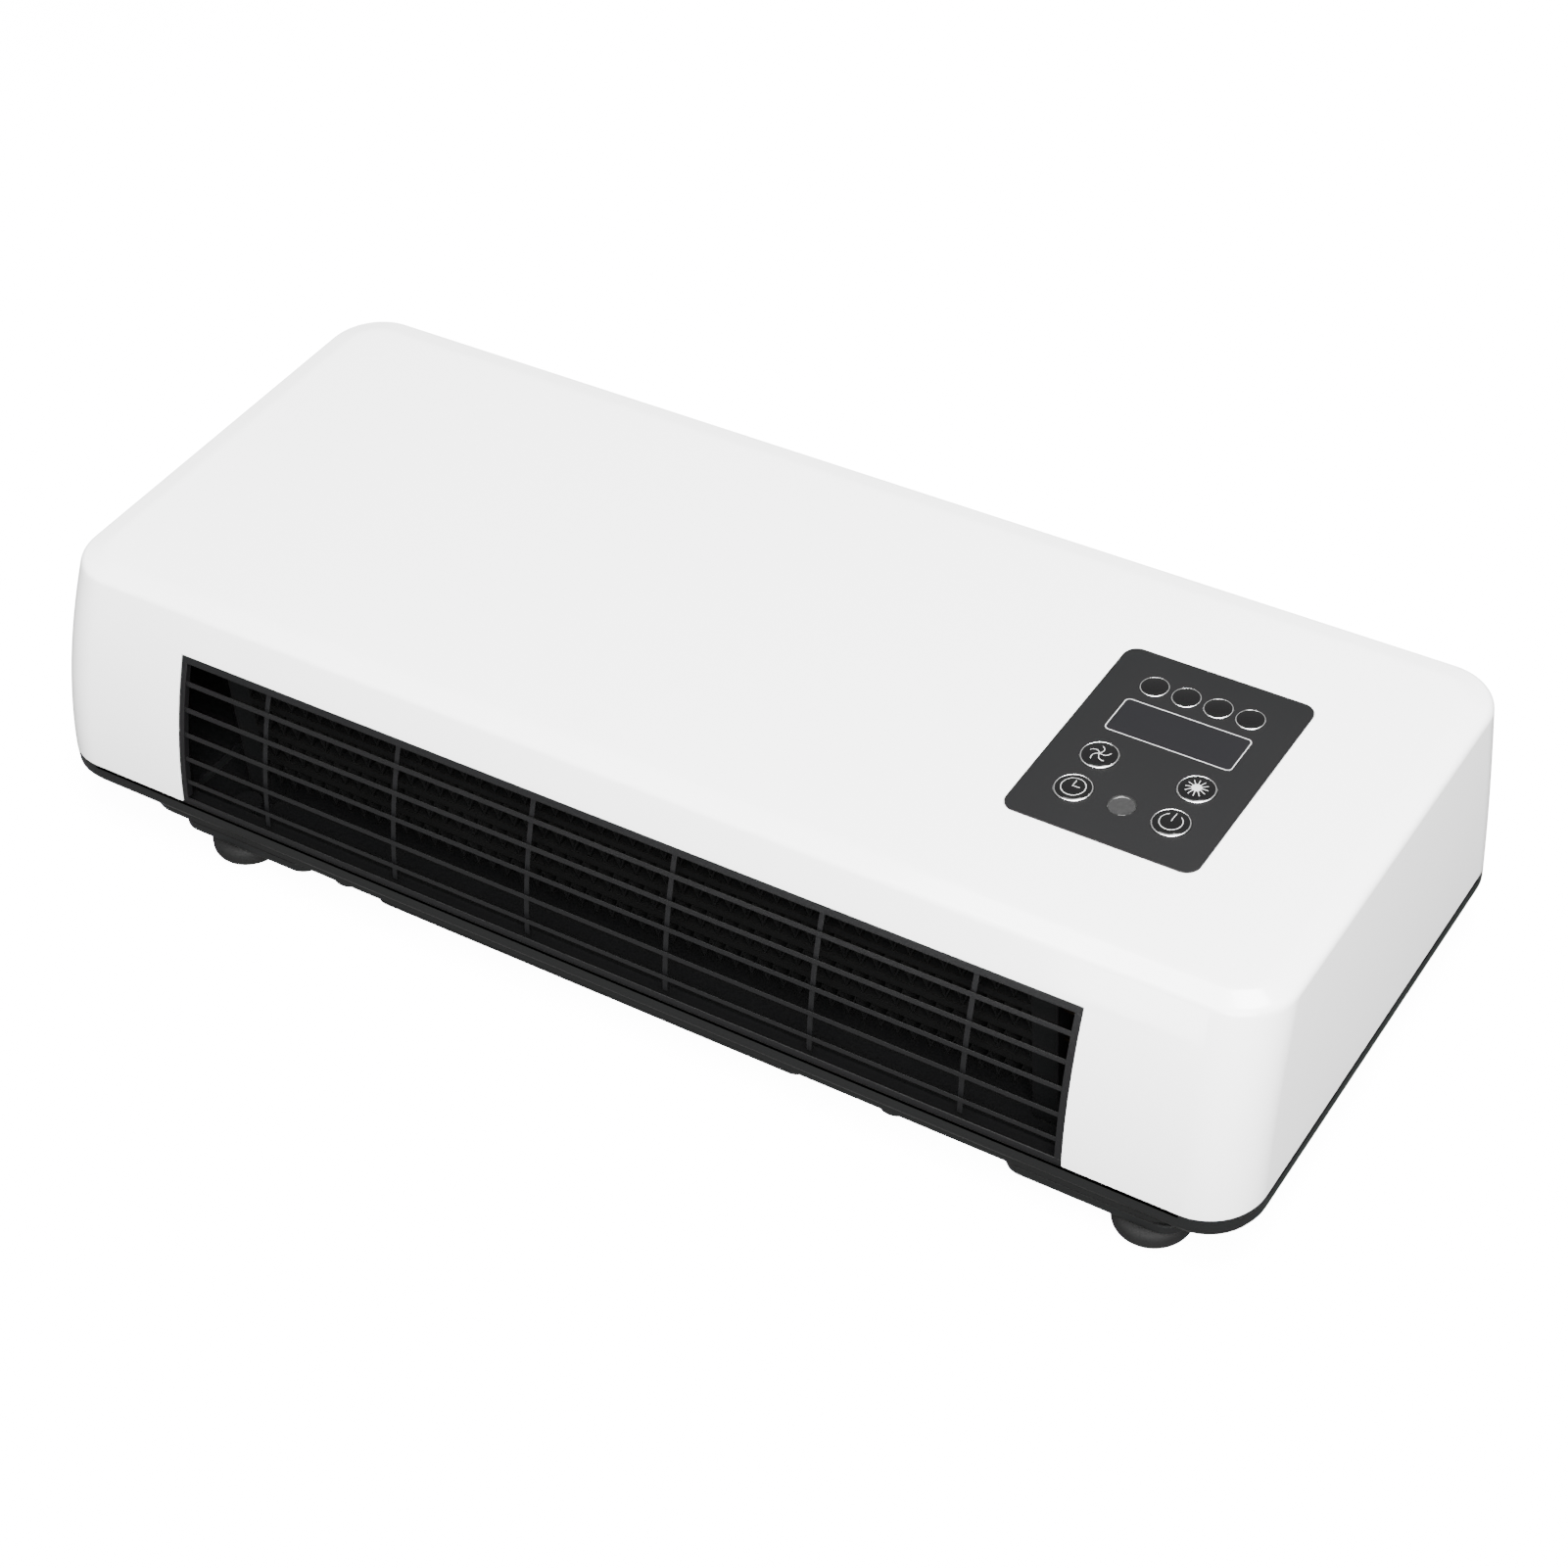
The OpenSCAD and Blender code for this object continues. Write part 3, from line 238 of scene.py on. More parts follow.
def surface(name, group_name, values, depth, **shader_values):
    """A material: one shared group feeds the shader, and the shader keeps its own constants."""
    found = bpy.data.materials.get(name)
    if found:
        return found
    material = bpy.data.materials.new(name)
    material.use_nodes = True
    tree = material.node_tree
    shader = tree.nodes["Principled BSDF"]
    place = tree.nodes.new("ShaderNodeTexCoord")
    effect = tree.nodes.new("ShaderNodeGroup")
    effect.node_tree = bpy.data.node_groups.get(group_name) or GROUPS[group_name]()
    tree.links.new(place.outputs["Object"], effect.inputs["Vector"])
    for key, value in values.items():
        effect.inputs[key].default_value = value
    tree.links.new(effect.outputs["Colour"], shader.inputs["Base Color"])
    if "Roughness" in effect.outputs:
        tree.links.new(effect.outputs["Roughness"], shader.inputs["Roughness"])
    bump = tree.nodes.new("ShaderNodeBump")
    bump.inputs["Strength"].default_value = 1.0
    bump.inputs["Distance"].default_value = depth
    tree.links.new(effect.outputs["Height"], bump.inputs["Height"])
    tree.links.new(bump.outputs["Normal"], shader.inputs["Normal"])
    for key, value in shader_values.items():
        shader.inputs[key.replace("_", " ")].default_value = value
    return material


def moulded(name, colour, roughness, grain=2500.0, depth=0.02, gloss=0.08, shade=0.06, drift=25.0,
            specular=0.5, **extra):
    """Moulded plastic, rubber, resin or film; the depth of its grain is in millimetres."""
    values = {"Colour": (*colour, 1.0), "Roughness": roughness, "Gloss drift": gloss, "Shade drift": shade,
              "Grain scale": grain, "Drift scale": drift}
    return surface(name, "Moulded surface", values, depth * MM, Specular_IOR_Level=specular, **extra)


def brushed(name, colour, roughness, stretch=(60.0, 2500.0, 2500.0)):
    values = {"Colour": (*colour, 1.0), "Roughness": roughness, "Stretch": stretch}
    return surface(name, "Brushed surface", values, 0.01 * MM, Metallic=1.0)


# Finishes: maker, material name, colour or the setting that holds it, roughness, and what else differs
FINISHES = {
    "gloss white": (moulded, "Gloss white cover", "cover", 0.10,
                    dict(grain=900.0, depth=0.001, gloss=0.03, shade=0.012, drift=12.0, IOR=1.5)),
    "satin charcoal": (moulded, "Satin charcoal base", "base", 0.5,
                       dict(grain=3200.0, gloss=0.1, shade=0.1, specular=0.17)),
    "satin black": (moulded, "Satin black grille", "grille", 0.45,
                    dict(grain=3200.0, depth=0.015, gloss=0.1, shade=0.1, specular=0.25)),
    "rubber": (moulded, "Black rubber", (0.004, 0.004, 0.004), 0.75,
               dict(grain=1800.0, depth=0.03, gloss=0.12, shade=0.15, specular=0.2)),
    "film": (moulded, "Satin film", "overlay", 0.34,
             dict(grain=5000.0, depth=0.004, gloss=0.05, shade=0.05, specular=0.12)),
    "dark dome": (moulded, "Dark resin dome", (0.0030, 0.0030, 0.0031), 0.06,
                  dict(grain=600.0, depth=0.0005, gloss=0.02, shade=0.05, IOR=1.35)),
    "smoked window": (moulded, "Smoked window", (0.0045, 0.0044, 0.0051), 0.32,
                      dict(grain=700.0, depth=0.001, gloss=0.04, specular=0.13)),
    "clear grey": (moulded, "Infrared lens", (0.016, 0.016, 0.016), 0.12,
                   dict(grain=500.0, depth=0.002, gloss=0.05, shade=0.5, drift=900.0)),
    "white print": (moulded, "White print", "symbols", 0.35,
                    dict(grain=4000.0, depth=0.002, gloss=0.05, shade=0.03)),
    "black plastic": (moulded, "Black moulded plastic", (0.0034, 0.0034, 0.0035), 0.6, dict(specular=0.05)),
    # Heating fins and elements darkened to near black as painted shade inside the outlet; the grain and
    # tone drift are their own
    "dark core": (moulded, "Fins darkened as painted shade", (0.0030, 0.0030, 0.0030), 0.6,
                  dict(grain=1500.0, depth=0.01, gloss=0.15, shade=0.3, specular=0.05)),
    "ceramic": (moulded, "Unglazed ceramic", (0.72, 0.68, 0.6), 0.7, dict(grain=1500.0, depth=0.04)),
    "blue plastic": (moulded, "Blue relay case", (0.03, 0.1, 0.32), 0.35, {}),
    "green plastic": (moulded, "Green terminal case", (0.03, 0.2, 0.08), 0.4, {}),
    "taped winding": (moulded, "Yellow tape", (0.62, 0.48, 0.06), 0.4, dict(grain=900.0)),
    "bright ring": (brushed, "Bright ring", (0.8, 0.8, 0.8), 0.22, {}),
    "steel": (brushed, "Zinc-plated steel", (0.55, 0.55, 0.56), 0.32, {}),
    "laminated steel": (brushed, "Laminated steel", (0.35, 0.35, 0.36), 0.45,
                        dict(stretch=(2500.0, 60.0, 60.0))),
    "blackened steel": (brushed, "Blackened steel", (0.03, 0.03, 0.031), 0.45, {}),
    "brass": (brushed, "Brass", (0.72, 0.52, 0.22), 0.3, {}),
    # Brass darkened to near black as painted shade, for the terminals that sit in the shadowed outlet
    "oxidised brass": (brushed, "Brass darkened as painted shade", (0.02, 0.015, 0.009), 0.5, {}),
}


def material_for(kind):
    """The material of a finish that is named in plain words."""
    if kind == "board":
        return surface("Circuit board", "Board tracks", {"Pitch": 320.0}, 0.03 * MM, Roughness=0.35)
    if kind == "copper winding":
        return surface("Copper winding", "Wound wire", {"Colour": (0.6, 0.24, 0.08, 1.0), "Turns": 900.0},
                       0.1 * MM, Roughness=0.3, Metallic=0.8)
    maker, name, colour, roughness, extra = FINISHES[kind]
    if isinstance(colour, str):
        colour = getattr(bpy.context.scene.heater_colours, colour)
    return maker(name, colour, roughness, **extra)


# Modelling helpers: everything is deselected first, and a piece ends with its place in its mesh

def start_clean():
    if bpy.context.mode != "OBJECT":
        bpy.ops.object.mode_set(mode="OBJECT")
    bpy.ops.object.select_all(action="DESELECT")


def activate(piece):
    start_clean()
    piece.select_set(True)
    bpy.context.view_layer.objects.active = piece


def name_active(name):
    """Names the object that an operator has just made."""
    piece = bpy.context.active_object
    piece.name = name
    piece.data.name = name
    return piece


def primitive(name, add, **values):
    """Adds one of Blender's primitive shapes."""
    start_clean()
    add(**values)
    return name_active(name)


def new_piece(name, data):
    piece = bpy.data.objects.new(name, data)
    bpy.context.scene.collection.objects.link(piece)
    activate(piece)
    return piece


def joined(name, pieces):
    start_clean()
    for piece in pieces:
        piece.select_set(True)
    bpy.context.view_layer.objects.active = pieces[0]
    if len(pieces) > 1:
        bpy.ops.object.join()
    return name_active(name)


def settle(piece):
    """Puts the piece's place into its mesh."""
    activate(piece)
    bpy.ops.object.transform_apply(location=True, rotation=True, scale=True)
    return piece


def edit():
    bpy.ops.object.mode_set(mode="EDIT")


def end_edit():
    bpy.ops.object.mode_set(mode="OBJECT")


def select_all():
    bpy.ops.mesh.select_all(action="SELECT")


def end_edit_outwards():
    """Ends the edit with every face turned outwards."""
    select_all()
    bpy.ops.mesh.normals_make_consistent(inside=False)
    end_edit()


def edit_top(piece):
    """Opens edit mode with only the faces selected that look up."""
    edit()
    bpy.ops.mesh.select_mode(type="FACE")
    bpy.ops.mesh.select_all(action="DESELECT")
    end_edit()
    for face in piece.data.polygons:
        face.select = face.normal.z > 0.9
    edit()


def apply_modifier(piece, kind, **values):
    activate(piece)
    modifier = piece.modifiers.new(kind.title(), kind)
    for key, value in values.items():
        setattr(modifier, key, value)
    bpy.ops.object.modifier_apply(modifier=modifier.name)


def round_edges(piece, width, segments, angle, **values):
    """Rounds the edges that turn by more than an angle in degrees."""
    apply_modifier(piece, "BEVEL", width=width, segments=segments, limit_method="ANGLE",
                   angle_limit=math.radians(angle), **values)


def finish_piece(piece, kind, body=HOUSING):
    """Smooth shading, weighted normals, finish, body and slot."""
    activate(piece)
    bpy.ops.object.shade_smooth_by_angle(angle=math.radians(35))
    apply_modifier(piece, "WEIGHTED_NORMAL", keep_sharp=True, weight=80)
    piece.data.materials.clear()
    piece.data.materials.append(material_for(kind))
    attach(piece, body)


def cut(piece, cutter):
    """Takes the cutter out of the piece and deletes it."""
    apply_modifier(piece, "BOOLEAN", object=cutter, operation="DIFFERENCE", solver="EXACT")
    mesh = cutter.data
    bpy.data.objects.remove(cutter)
    bpy.data.meshes.remove(mesh)


def softened_copy(node, name, width):
    """A copy of a frame node's mesh with flat faces joined and its edges rounded."""
    piece = new_piece(name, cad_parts[node].data.copy())
    bpy.ops.mesh.customdata_custom_splitnormals_clear()
    edit()
    select_all()
    bpy.ops.mesh.remove_doubles(threshold=0.002 * MM)
    bpy.ops.mesh.dissolve_limited(angle_limit=math.radians(0.5))
    end_edit()
    round_edges(piece, width, 2, 30, use_clamp_overlap=True, miter_outer="MITER_ARC")
    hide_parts(node)
    return piece


def rounded_plate(name, length, width, radius, low, high, middle):
    """A plate with rounded corners, from a plane: bevelled corners, then pulled up."""
    piece = primitive(name, bpy.ops.mesh.primitive_plane_add, size=1, location=(0, 0, 0))
    edit()
    bpy.ops.transform.resize(value=(length, width, 1), center_override=(0, 0, 0))
    bpy.ops.mesh.bevel(offset=radius, segments=10, affect="VERTICES", clamp_overlap=False)
    select_all()
    bpy.ops.transform.translate(value=(middle[0], middle[1], low))
    bpy.ops.mesh.extrude_region_move(TRANSFORM_OT_translate={"value": (0, 0, high - low)})
    end_edit_outwards()
    return piece


def rod(name, x, y, radius, low, high, segments=64):
    return settle(primitive(name, bpy.ops.mesh.primitive_cylinder_add, vertices=segments, radius=radius,
                            depth=high - low, location=(x, y, (low + high) / 2)))


def gland_cutter():
    """A rod about the cable gland, which opens the back wall for it."""
    low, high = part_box("cable_gland")
    middle = (low + high) / 2
    return settle(primitive("gland_cutter", bpy.ops.mesh.primitive_cylinder_add, vertices=48,
                            radius=6.3 * MM, depth=12 * MM, rotation=(math.radians(90), 0, 0),
                            location=(middle.x, COVER_HIGH.y, middle.z)))


def swept(name, rings, closed=False):
    """A bar through rings of points that all have the same count, capped, or closed on itself."""
    count = len(rings[0])
    points = [point for ring in rings for point in ring]
    faces = [] if closed else [list(range(count))[::-1], list(range(len(points) - count, len(points)))]
    for level in range(len(rings) - (0 if closed else 1)):
        near, far = level * count, (level + 1) % len(rings) * count
        for i in range(count):
            after = (i + 1) % count
            faces.append([near + i, near + after, far + after, far + i])
    mesh = bpy.data.meshes.new(name)
    mesh.from_pydata(points, [], faces)
    piece = new_piece(name, mesh)
    edit()
    end_edit_outwards()
    return piece


def arc(radius, start, end, steps=32, middle=(0, 0)):
    """Points on a circle between two angles in degrees."""
    turns = [math.radians(start + (end - start) * i / steps) for i in range(steps + 1)]
    return [(middle[0] + radius * math.cos(turn), middle[1] + radius * math.sin(turn)) for turn in turns]


def rounded_outline(x0, x1, y0, y1, radius, steps=10):
    """Points round a rectangle with rounded corners, the same count for every size."""
    points = []
    for k, (x, y) in enumerate(((x1 - radius, y1 - radius), (x0 + radius, y1 - radius),
                                (x0 + radius, y0 + radius), (x1 - radius, y0 + radius))):
        points += arc(radius, 90 * k, 90 * (k + 1), steps, (x, y))
    return points


def edge_band(name, box, radius, profile):
    """A closed band round a rounded rectangle (x0, x1, y0, y1), with a section of (set-in, z) points."""
    x0, x1, y0, y1 = box
    outlines = [(rounded_outline(x0 + inset, x1 - inset, y0 + inset, y1 - inset, radius - inset), z)
                for inset, z in profile]
    rings = [[(*outline[i], z) for outline, z in outlines] for i in range(len(outlines[0][0]))]
    return swept(name, rings, closed=True)


# The cover: the same wall lines as the frame's, worked out from the same driving sizes

def wall_sets(height):
    """Set-back of the outlet, end and back walls at a height above the cover's edge."""
    sizes = bpy.context.scene.heater_sizes
    share = height / COVER_HEIGHT
    return (sizes.front_lean * share + sizes.front_bow * share ** 2,
            sizes.end_bow * share ** 2,
            sizes.back_lean * share)


def wall_slopes():
    """Lean of the same three walls at the top."""
    sizes = bpy.context.scene.heater_sizes
    return (math.atan((sizes.front_lean + 2 * sizes.front_bow) / COVER_HEIGHT),
            math.atan(2 * sizes.end_bow / COVER_HEIGHT),
            math.atan(sizes.back_lean / COVER_HEIGHT))


def bevel_edge():
    """The edge of the front face as (reach, drop) pairs: end of the blend, then end of the bevel."""
    sizes = bpy.context.scene.heater_sizes
    blend = (sizes.bevel_blend * math.sin(sizes.bevel_angle),
             sizes.bevel_blend * (1 - math.cos(sizes.bevel_angle)))
    return blend, (blend[0] + sizes.bevel_width, blend[1] + sizes.bevel_width * math.tan(sizes.bevel_angle))


def edge_reach(drop):
    """How far outside the flat face the surface lies at a drop below it."""
    sizes = bpy.context.scene.heater_sizes
    blend, bevel = bevel_edge()
    if drop <= blend[1]:
        return math.sqrt(max(0.0, sizes.bevel_blend ** 2 - (sizes.bevel_blend - drop) ** 2))
    if drop <= bevel[1]:
        return blend[0] + (drop - blend[1]) / math.tan(sizes.bevel_angle)
    turn = math.acos(max(-1.0, math.cos(sizes.bevel_angle) - (drop - bevel[1]) / sizes.top_round))
    return bevel[0] + sizes.top_round * (math.sin(turn) - math.sin(sizes.bevel_angle))


def rounded_sets(height):
    """As wall_sets, with the tight rounding, the bevel and the blend into the front face."""
    sizes = bpy.context.scene.heater_sizes
    bevel = bevel_edge()[1]
    result = []
    for i, slope in enumerate(wall_slopes()):
        start = COVER_HEIGHT - bevel[1] - sizes.top_round * (math.cos(sizes.bevel_angle) - math.sin(slope))
        if height <= start:
            result.append(wall_sets(height)[i])
        else:
            reach = bevel[0] + sizes.top_round * (math.cos(slope) - math.sin(sizes.bevel_angle))
            result.append(wall_sets(start)[i] + reach - edge_reach(COVER_HEIGHT - height))
    return result


def ring_box(height):
    """Half length, front y, back y and corner radius of the cover's outline at a height."""
    front, end, back = rounded_sets(height)
    corner = bpy.context.scene.heater_sizes.corner - max(0.0, end - wall_sets(height)[1])
    return BODY_LENGTH / 2 - end, COVER_LOW.y + front, COVER_HIGH.y - back, corner


def reshape_ring(piece, old, new):
    """Moves the outline that is selected in edit mode from one ring_box to another."""
    mesh = bmesh.from_edit_mesh(piece.data)
    for vertex in mesh.verts:
        if not vertex.select:
            continue
        side = 1 if vertex.co.x > 0 else -1
        behind = vertex.co.y > (old[1] + old[2]) / 2
        centre = (side * (old[0] - old[3]), old[2] - old[3] if behind else old[1] + old[3])
        target = (side * (new[0] - new[3]), new[2] - new[3] if behind else new[1] + new[3])
        vertex.co.x = target[0] + (vertex.co.x - centre[0]) / old[3] * new[3]
        vertex.co.y = target[1] + (vertex.co.y - centre[1]) / old[3] * new[3]
    bmesh.update_edit_mesh(piece.data)


class HEATER_OT_cover(bpy.types.Operator):
    """Makes the white cover as one bowed shell with its outlet, panel seat and holes"""
    bl_idname = "heater.cover"
    bl_label = "Cover"
    wall_levels = 16
    round_levels = 9
    blend_levels = 4
    corner_steps = 16
    face_inset = 2 * MM
    outlet_depth = 68 * MM
    outlet_below = 5 * MM
    seat_gap = 0.15 * MM
    seat_corner = 5 * MM
    hole_radius = 6.35 * MM

    def heights(self, sizes):
        """Levels of the shell: the wall, the tight rounding, the bevel and the blend."""
        bevel = bevel_edge()[1]
        straight = COVER_HEIGHT - bevel[1] - sizes.top_round * math.cos(sizes.bevel_angle)
        levels = [straight * i / self.wall_levels for i in range(1, self.wall_levels + 1)]
        for i in range(1, self.round_levels + 1):
            turn = math.pi / 2 - (math.pi / 2 - sizes.bevel_angle) * i / self.round_levels
            levels.append(COVER_HEIGHT - bevel[1]
                          - sizes.top_round * (math.cos(sizes.bevel_angle) - math.cos(turn)))
        for i in range(self.blend_levels + 1):
            turn = sizes.bevel_angle * (1 - i / self.blend_levels)
            levels.append(COVER_HEIGHT - sizes.bevel_blend * (1 - math.cos(turn)))
        return levels

    def execute(self, context):
        sizes = context.scene.heater_sizes
        shell = primitive("cover_shell", bpy.ops.mesh.primitive_plane_add, size=1, location=(0, 0, 0))
        outline = ring_box(0.0)
        edit()
        bpy.ops.transform.resize(value=(2 * outline[0], outline[2] - outline[1], 1),
                                 center_override=(0, 0, 0))
        bpy.ops.mesh.bevel(offset=sizes.corner, segments=self.corner_steps, affect="VERTICES",
                           clamp_overlap=False)
        select_all()
        bpy.ops.transform.translate(value=(0, (outline[1] + outline[2]) / 2, COVER_LOW.z))
        bpy.ops.mesh.delete(type="ONLY_FACE")
        select_all()
        level = 0.0
        for height in self.heights(sizes):
            bpy.ops.mesh.extrude_region_move(TRANSFORM_OT_translate={"value": (0, 0, height - level)})
            new_outline = ring_box(height)
            reshape_ring(shell, outline, new_outline)
            outline, level = new_outline, height
        bpy.ops.mesh.edge_face_add()
        bpy.ops.mesh.inset(thickness=self.face_inset, depth=0)
        end_edit_outwards()
        apply_modifier(shell, "SOLIDIFY", thickness=sizes.wall, offset=-1.0, use_even_offset=True)
        self.open_outlet(shell, sizes)
        cut(shell, gland_cutter())
        self.open_panel(shell, sizes)
        round_edges(shell, sizes.edge_round, 2, 50, use_clamp_overlap=False)
        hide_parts("front_cover")
        finish_piece(shell, "gloss white")
        return {"FINISHED"}

    def open_outlet(self, shell, sizes):
        """The outlet is open down to the cover's edge."""
        low = COVER_LOW.z - self.outlet_below
        high = COVER_LOW.z + sizes.outlet_height
        block = primitive("outlet_cutter", bpy.ops.mesh.primitive_cube_add, size=1,
                          location=(0, COVER_LOW.y, (low + high) / 2))
        block.scale = (sizes.outlet_width, self.outlet_depth, high - low)
        cut(shell, settle(block))

    def open_panel(self, shell, sizes):
        """The overlay's shallow seat, and the holes of the keys."""
        above = COVER_HIGH.z + 2 * MM
        below = COVER_HIGH.z - 2 * sizes.wall
        size = OVERLAY_HIGH - OVERLAY_LOW
        cut(shell, rounded_plate("seat_cutter", size.x + 2 * self.seat_gap, size.y + 2 * self.seat_gap,
                                 self.seat_corner, OVERLAY_LOW.z, above, (OVERLAY_LOW + OVERLAY_HIGH) / 2))
        for key in KEYS:
            middle = key_place(key)[0]
            cut(shell, rod("key_cutter", middle.x, middle.y, self.hole_radius, below, above))


def key_place(key):
    """Middle of a key and the height of its top."""
    low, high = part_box(key)
    return Vector(((low.x + high.x) / 2, (low.y + high.y) / 2, 0)), high.z


def dome_height(radius, rise, distance):
    """Height of a crown above its edge at a distance from its middle."""
    ball = (radius ** 2 + rise ** 2) / (2 * rise)
    return rise - ball + math.sqrt(max(0.0, ball ** 2 - distance ** 2))


def domed_disc(name, x, y, radius, low, edge, rise):
    """A round cap: a rod whose top is drawn in ring by ring to its crown."""
    disc = rod(name, x, y, radius, low, edge)
    edit_top(disc)
    previous = radius
    height = edge
    rings = 7
    for i in range(1, rings + 1):
        distance = radius * (1 - i / (rings + 0.5))
        lift = edge + dome_height(radius, rise, distance)
        bpy.ops.mesh.inset(thickness=0.0001 * MM, depth=0)
        bpy.ops.transform.resize(value=(distance / previous, distance / previous, 1),
                                 center_override=(x, y, height))
        bpy.ops.transform.translate(value=(0, 0, lift - height))
        previous, height = distance, lift
    end_edit()
    return disc


def closer(points):
    """The same line with points at most 0.25 mm apart, so that a print can follow a curved surface."""
    result = [points[0]]
    for a, b in zip(points, points[1:]):
        parts = max(1, math.ceil(math.dist(a, b) / (0.25 * MM)))
        result += [(a[0] + (b[0] - a[0]) * i / parts, a[1] + (b[1] - a[1]) * i / parts)
                   for i in range(1, parts + 1)]
    return result


def stroke(points, width, closed=False):
    """One line of print, drawn flat about the origin as a round-ended curve."""
    points = closer(points)
    curve = bpy.data.curves.new("stroke", "CURVE")
    curve.dimensions = "3D"
    curve.bevel_depth = width / 2
    curve.bevel_resolution = 2
    curve.use_fill_caps = True
    line = curve.splines.new("POLY")
    line.points.add(len(points) - 1)
    for spot, point in zip(line.points, points):
        spot.co = (point[0], point[1], 0, 1)
    line.use_cyclic_u = closed
    new_piece("stroke", curve)
    bpy.ops.object.convert(target="MESH")
    return bpy.context.active_object


def print_piece(name, strokes, place, surface_height, flatness=0.12, limit=None):
    """Joins strokes into one print, presses it flat and lays it on its surface."""
    limit = limit or bpy.context.scene.heater_sizes.print_height
    piece = joined(name, strokes)
    edit()
    select_all()
    bpy.ops.transform.resize(value=(1, 1, flatness), center_override=(0, 0, 0))
    end_edit()
    for vertex in piece.data.vertices:
        base = surface_height(math.hypot(vertex.co.x, vertex.co.y))
        vertex.co.z = max(-limit, min(limit, vertex.co.z)) + base
        vertex.co.x += place.x
        vertex.co.y += place.y
    return piece


# Symbols of the keys: their proportions are shares of the symbol's size

def fan_strokes(size, width):
    """Five curved vanes from a shared middle."""
    vanes, steps, sweep = 5, 14, math.radians(44)
    lines = []
    for k in range(vanes):
        tip = math.radians(30 + 72 * k)
        vane = []
        for i in range(steps + 1):
            t = i / steps
            angle = tip - sweep * (1 - t * t)
            vane.append((size * t * math.cos(angle), size * t * math.sin(angle)))
        lines.append(stroke(vane, width))
    return lines


def clock_strokes(size, width):
    """A ring with two hands at three o'clock."""
    ring = arc(size * 1.1, 0, 360)[:-1]
    hands = [(-size * 0.08, size * 0.78), (-size * 0.08, 0), (size * 0.6, size * 0.06)]
    return [stroke(ring, width, closed=True), stroke(hands, width)]


def sun_strokes(size, width):
    """A full disc with twelve rays."""
    lines = [stroke(arc(size * 0.23, 0, 360, 24)[:-1], size * 0.46, closed=True)]
    for k in range(12):
        turn = math.radians(30 * k + 8)
        lines.append(stroke([(size * reach * math.cos(turn), size * reach * math.sin(turn))
                             for reach in (0.45, 1.04)], width))
    return lines


def power_strokes(size, width):
    """A broken ring with an upright bar in its gap."""
    return [stroke(arc(size * 1.02, 122, 418), width), stroke([(0, size * 1.12), (0, 0)], width)]


SYMBOLS = {"fan_key": fan_strokes, "timer_key": clock_strokes, "heat_key": sun_strokes,
           "power_key": power_strokes}


class HEATER_OT_keys(bpy.types.Operator):
    """Makes the four domed keys with their rings and symbols"""
    bl_idname = "heater.keys"
    bl_label = "Keys"
    radius = 6.15 * MM
    rise = 0.6 * MM
    crown_gap = 0.04 * MM
    edge_round = 0.3 * MM
    depth_below = 2 * MM
    symbol_size = 3.57 * MM
    line_width = 0.24 * MM
    ring_height = 0.6 * MM
    ring_reach = 0.05 * MM
    ring_rise = 0.1 * MM

    def execute(self, context):
        sizes = context.scene.heater_sizes
        for key, body in KEYS.items():
            middle, top = key_place(key)
            edge = top - self.crown_gap - self.rise
            cap = domed_disc(key + "_cap", middle.x, middle.y, self.radius,
                             OVERLAY_LOW.z - self.depth_below, edge, self.rise)
            round_edges(cap, self.edge_round, 4, 50)
            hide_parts(key)
            finish_piece(cap, "dark dome", body)
            self.ring(key, body, middle, edge, sizes)
            drawn = SYMBOLS[key](self.symbol_size, self.line_width)
            symbol = print_piece(key + "_symbol", drawn, middle,
                                 lambda r: edge + dome_height(self.radius, self.rise, r))
            finish_piece(symbol, "white print", body)
        return {"FINISHED"}

    def ring(self, key, body, middle, edge, sizes):
        """A bright rim that wraps the key's edge down to the overlay."""
        half = sizes.ring_width / 2
        ring = settle(primitive(key + "_ring", bpy.ops.mesh.primitive_torus_add, major_segments=72,
                                minor_segments=16, major_radius=self.radius + self.ring_reach - half,
                                minor_radius=half, location=(middle.x, middle.y, 0)))
        edit()
        select_all()
        bpy.ops.transform.resize(value=(1, 1, self.ring_height / sizes.ring_width),
                                 center_override=(middle.x, middle.y, 0))
        bpy.ops.transform.translate(value=(0, 0, edge + self.ring_rise - self.ring_height / 2))
        end_edit()
        finish_piece(ring, "bright ring", body)


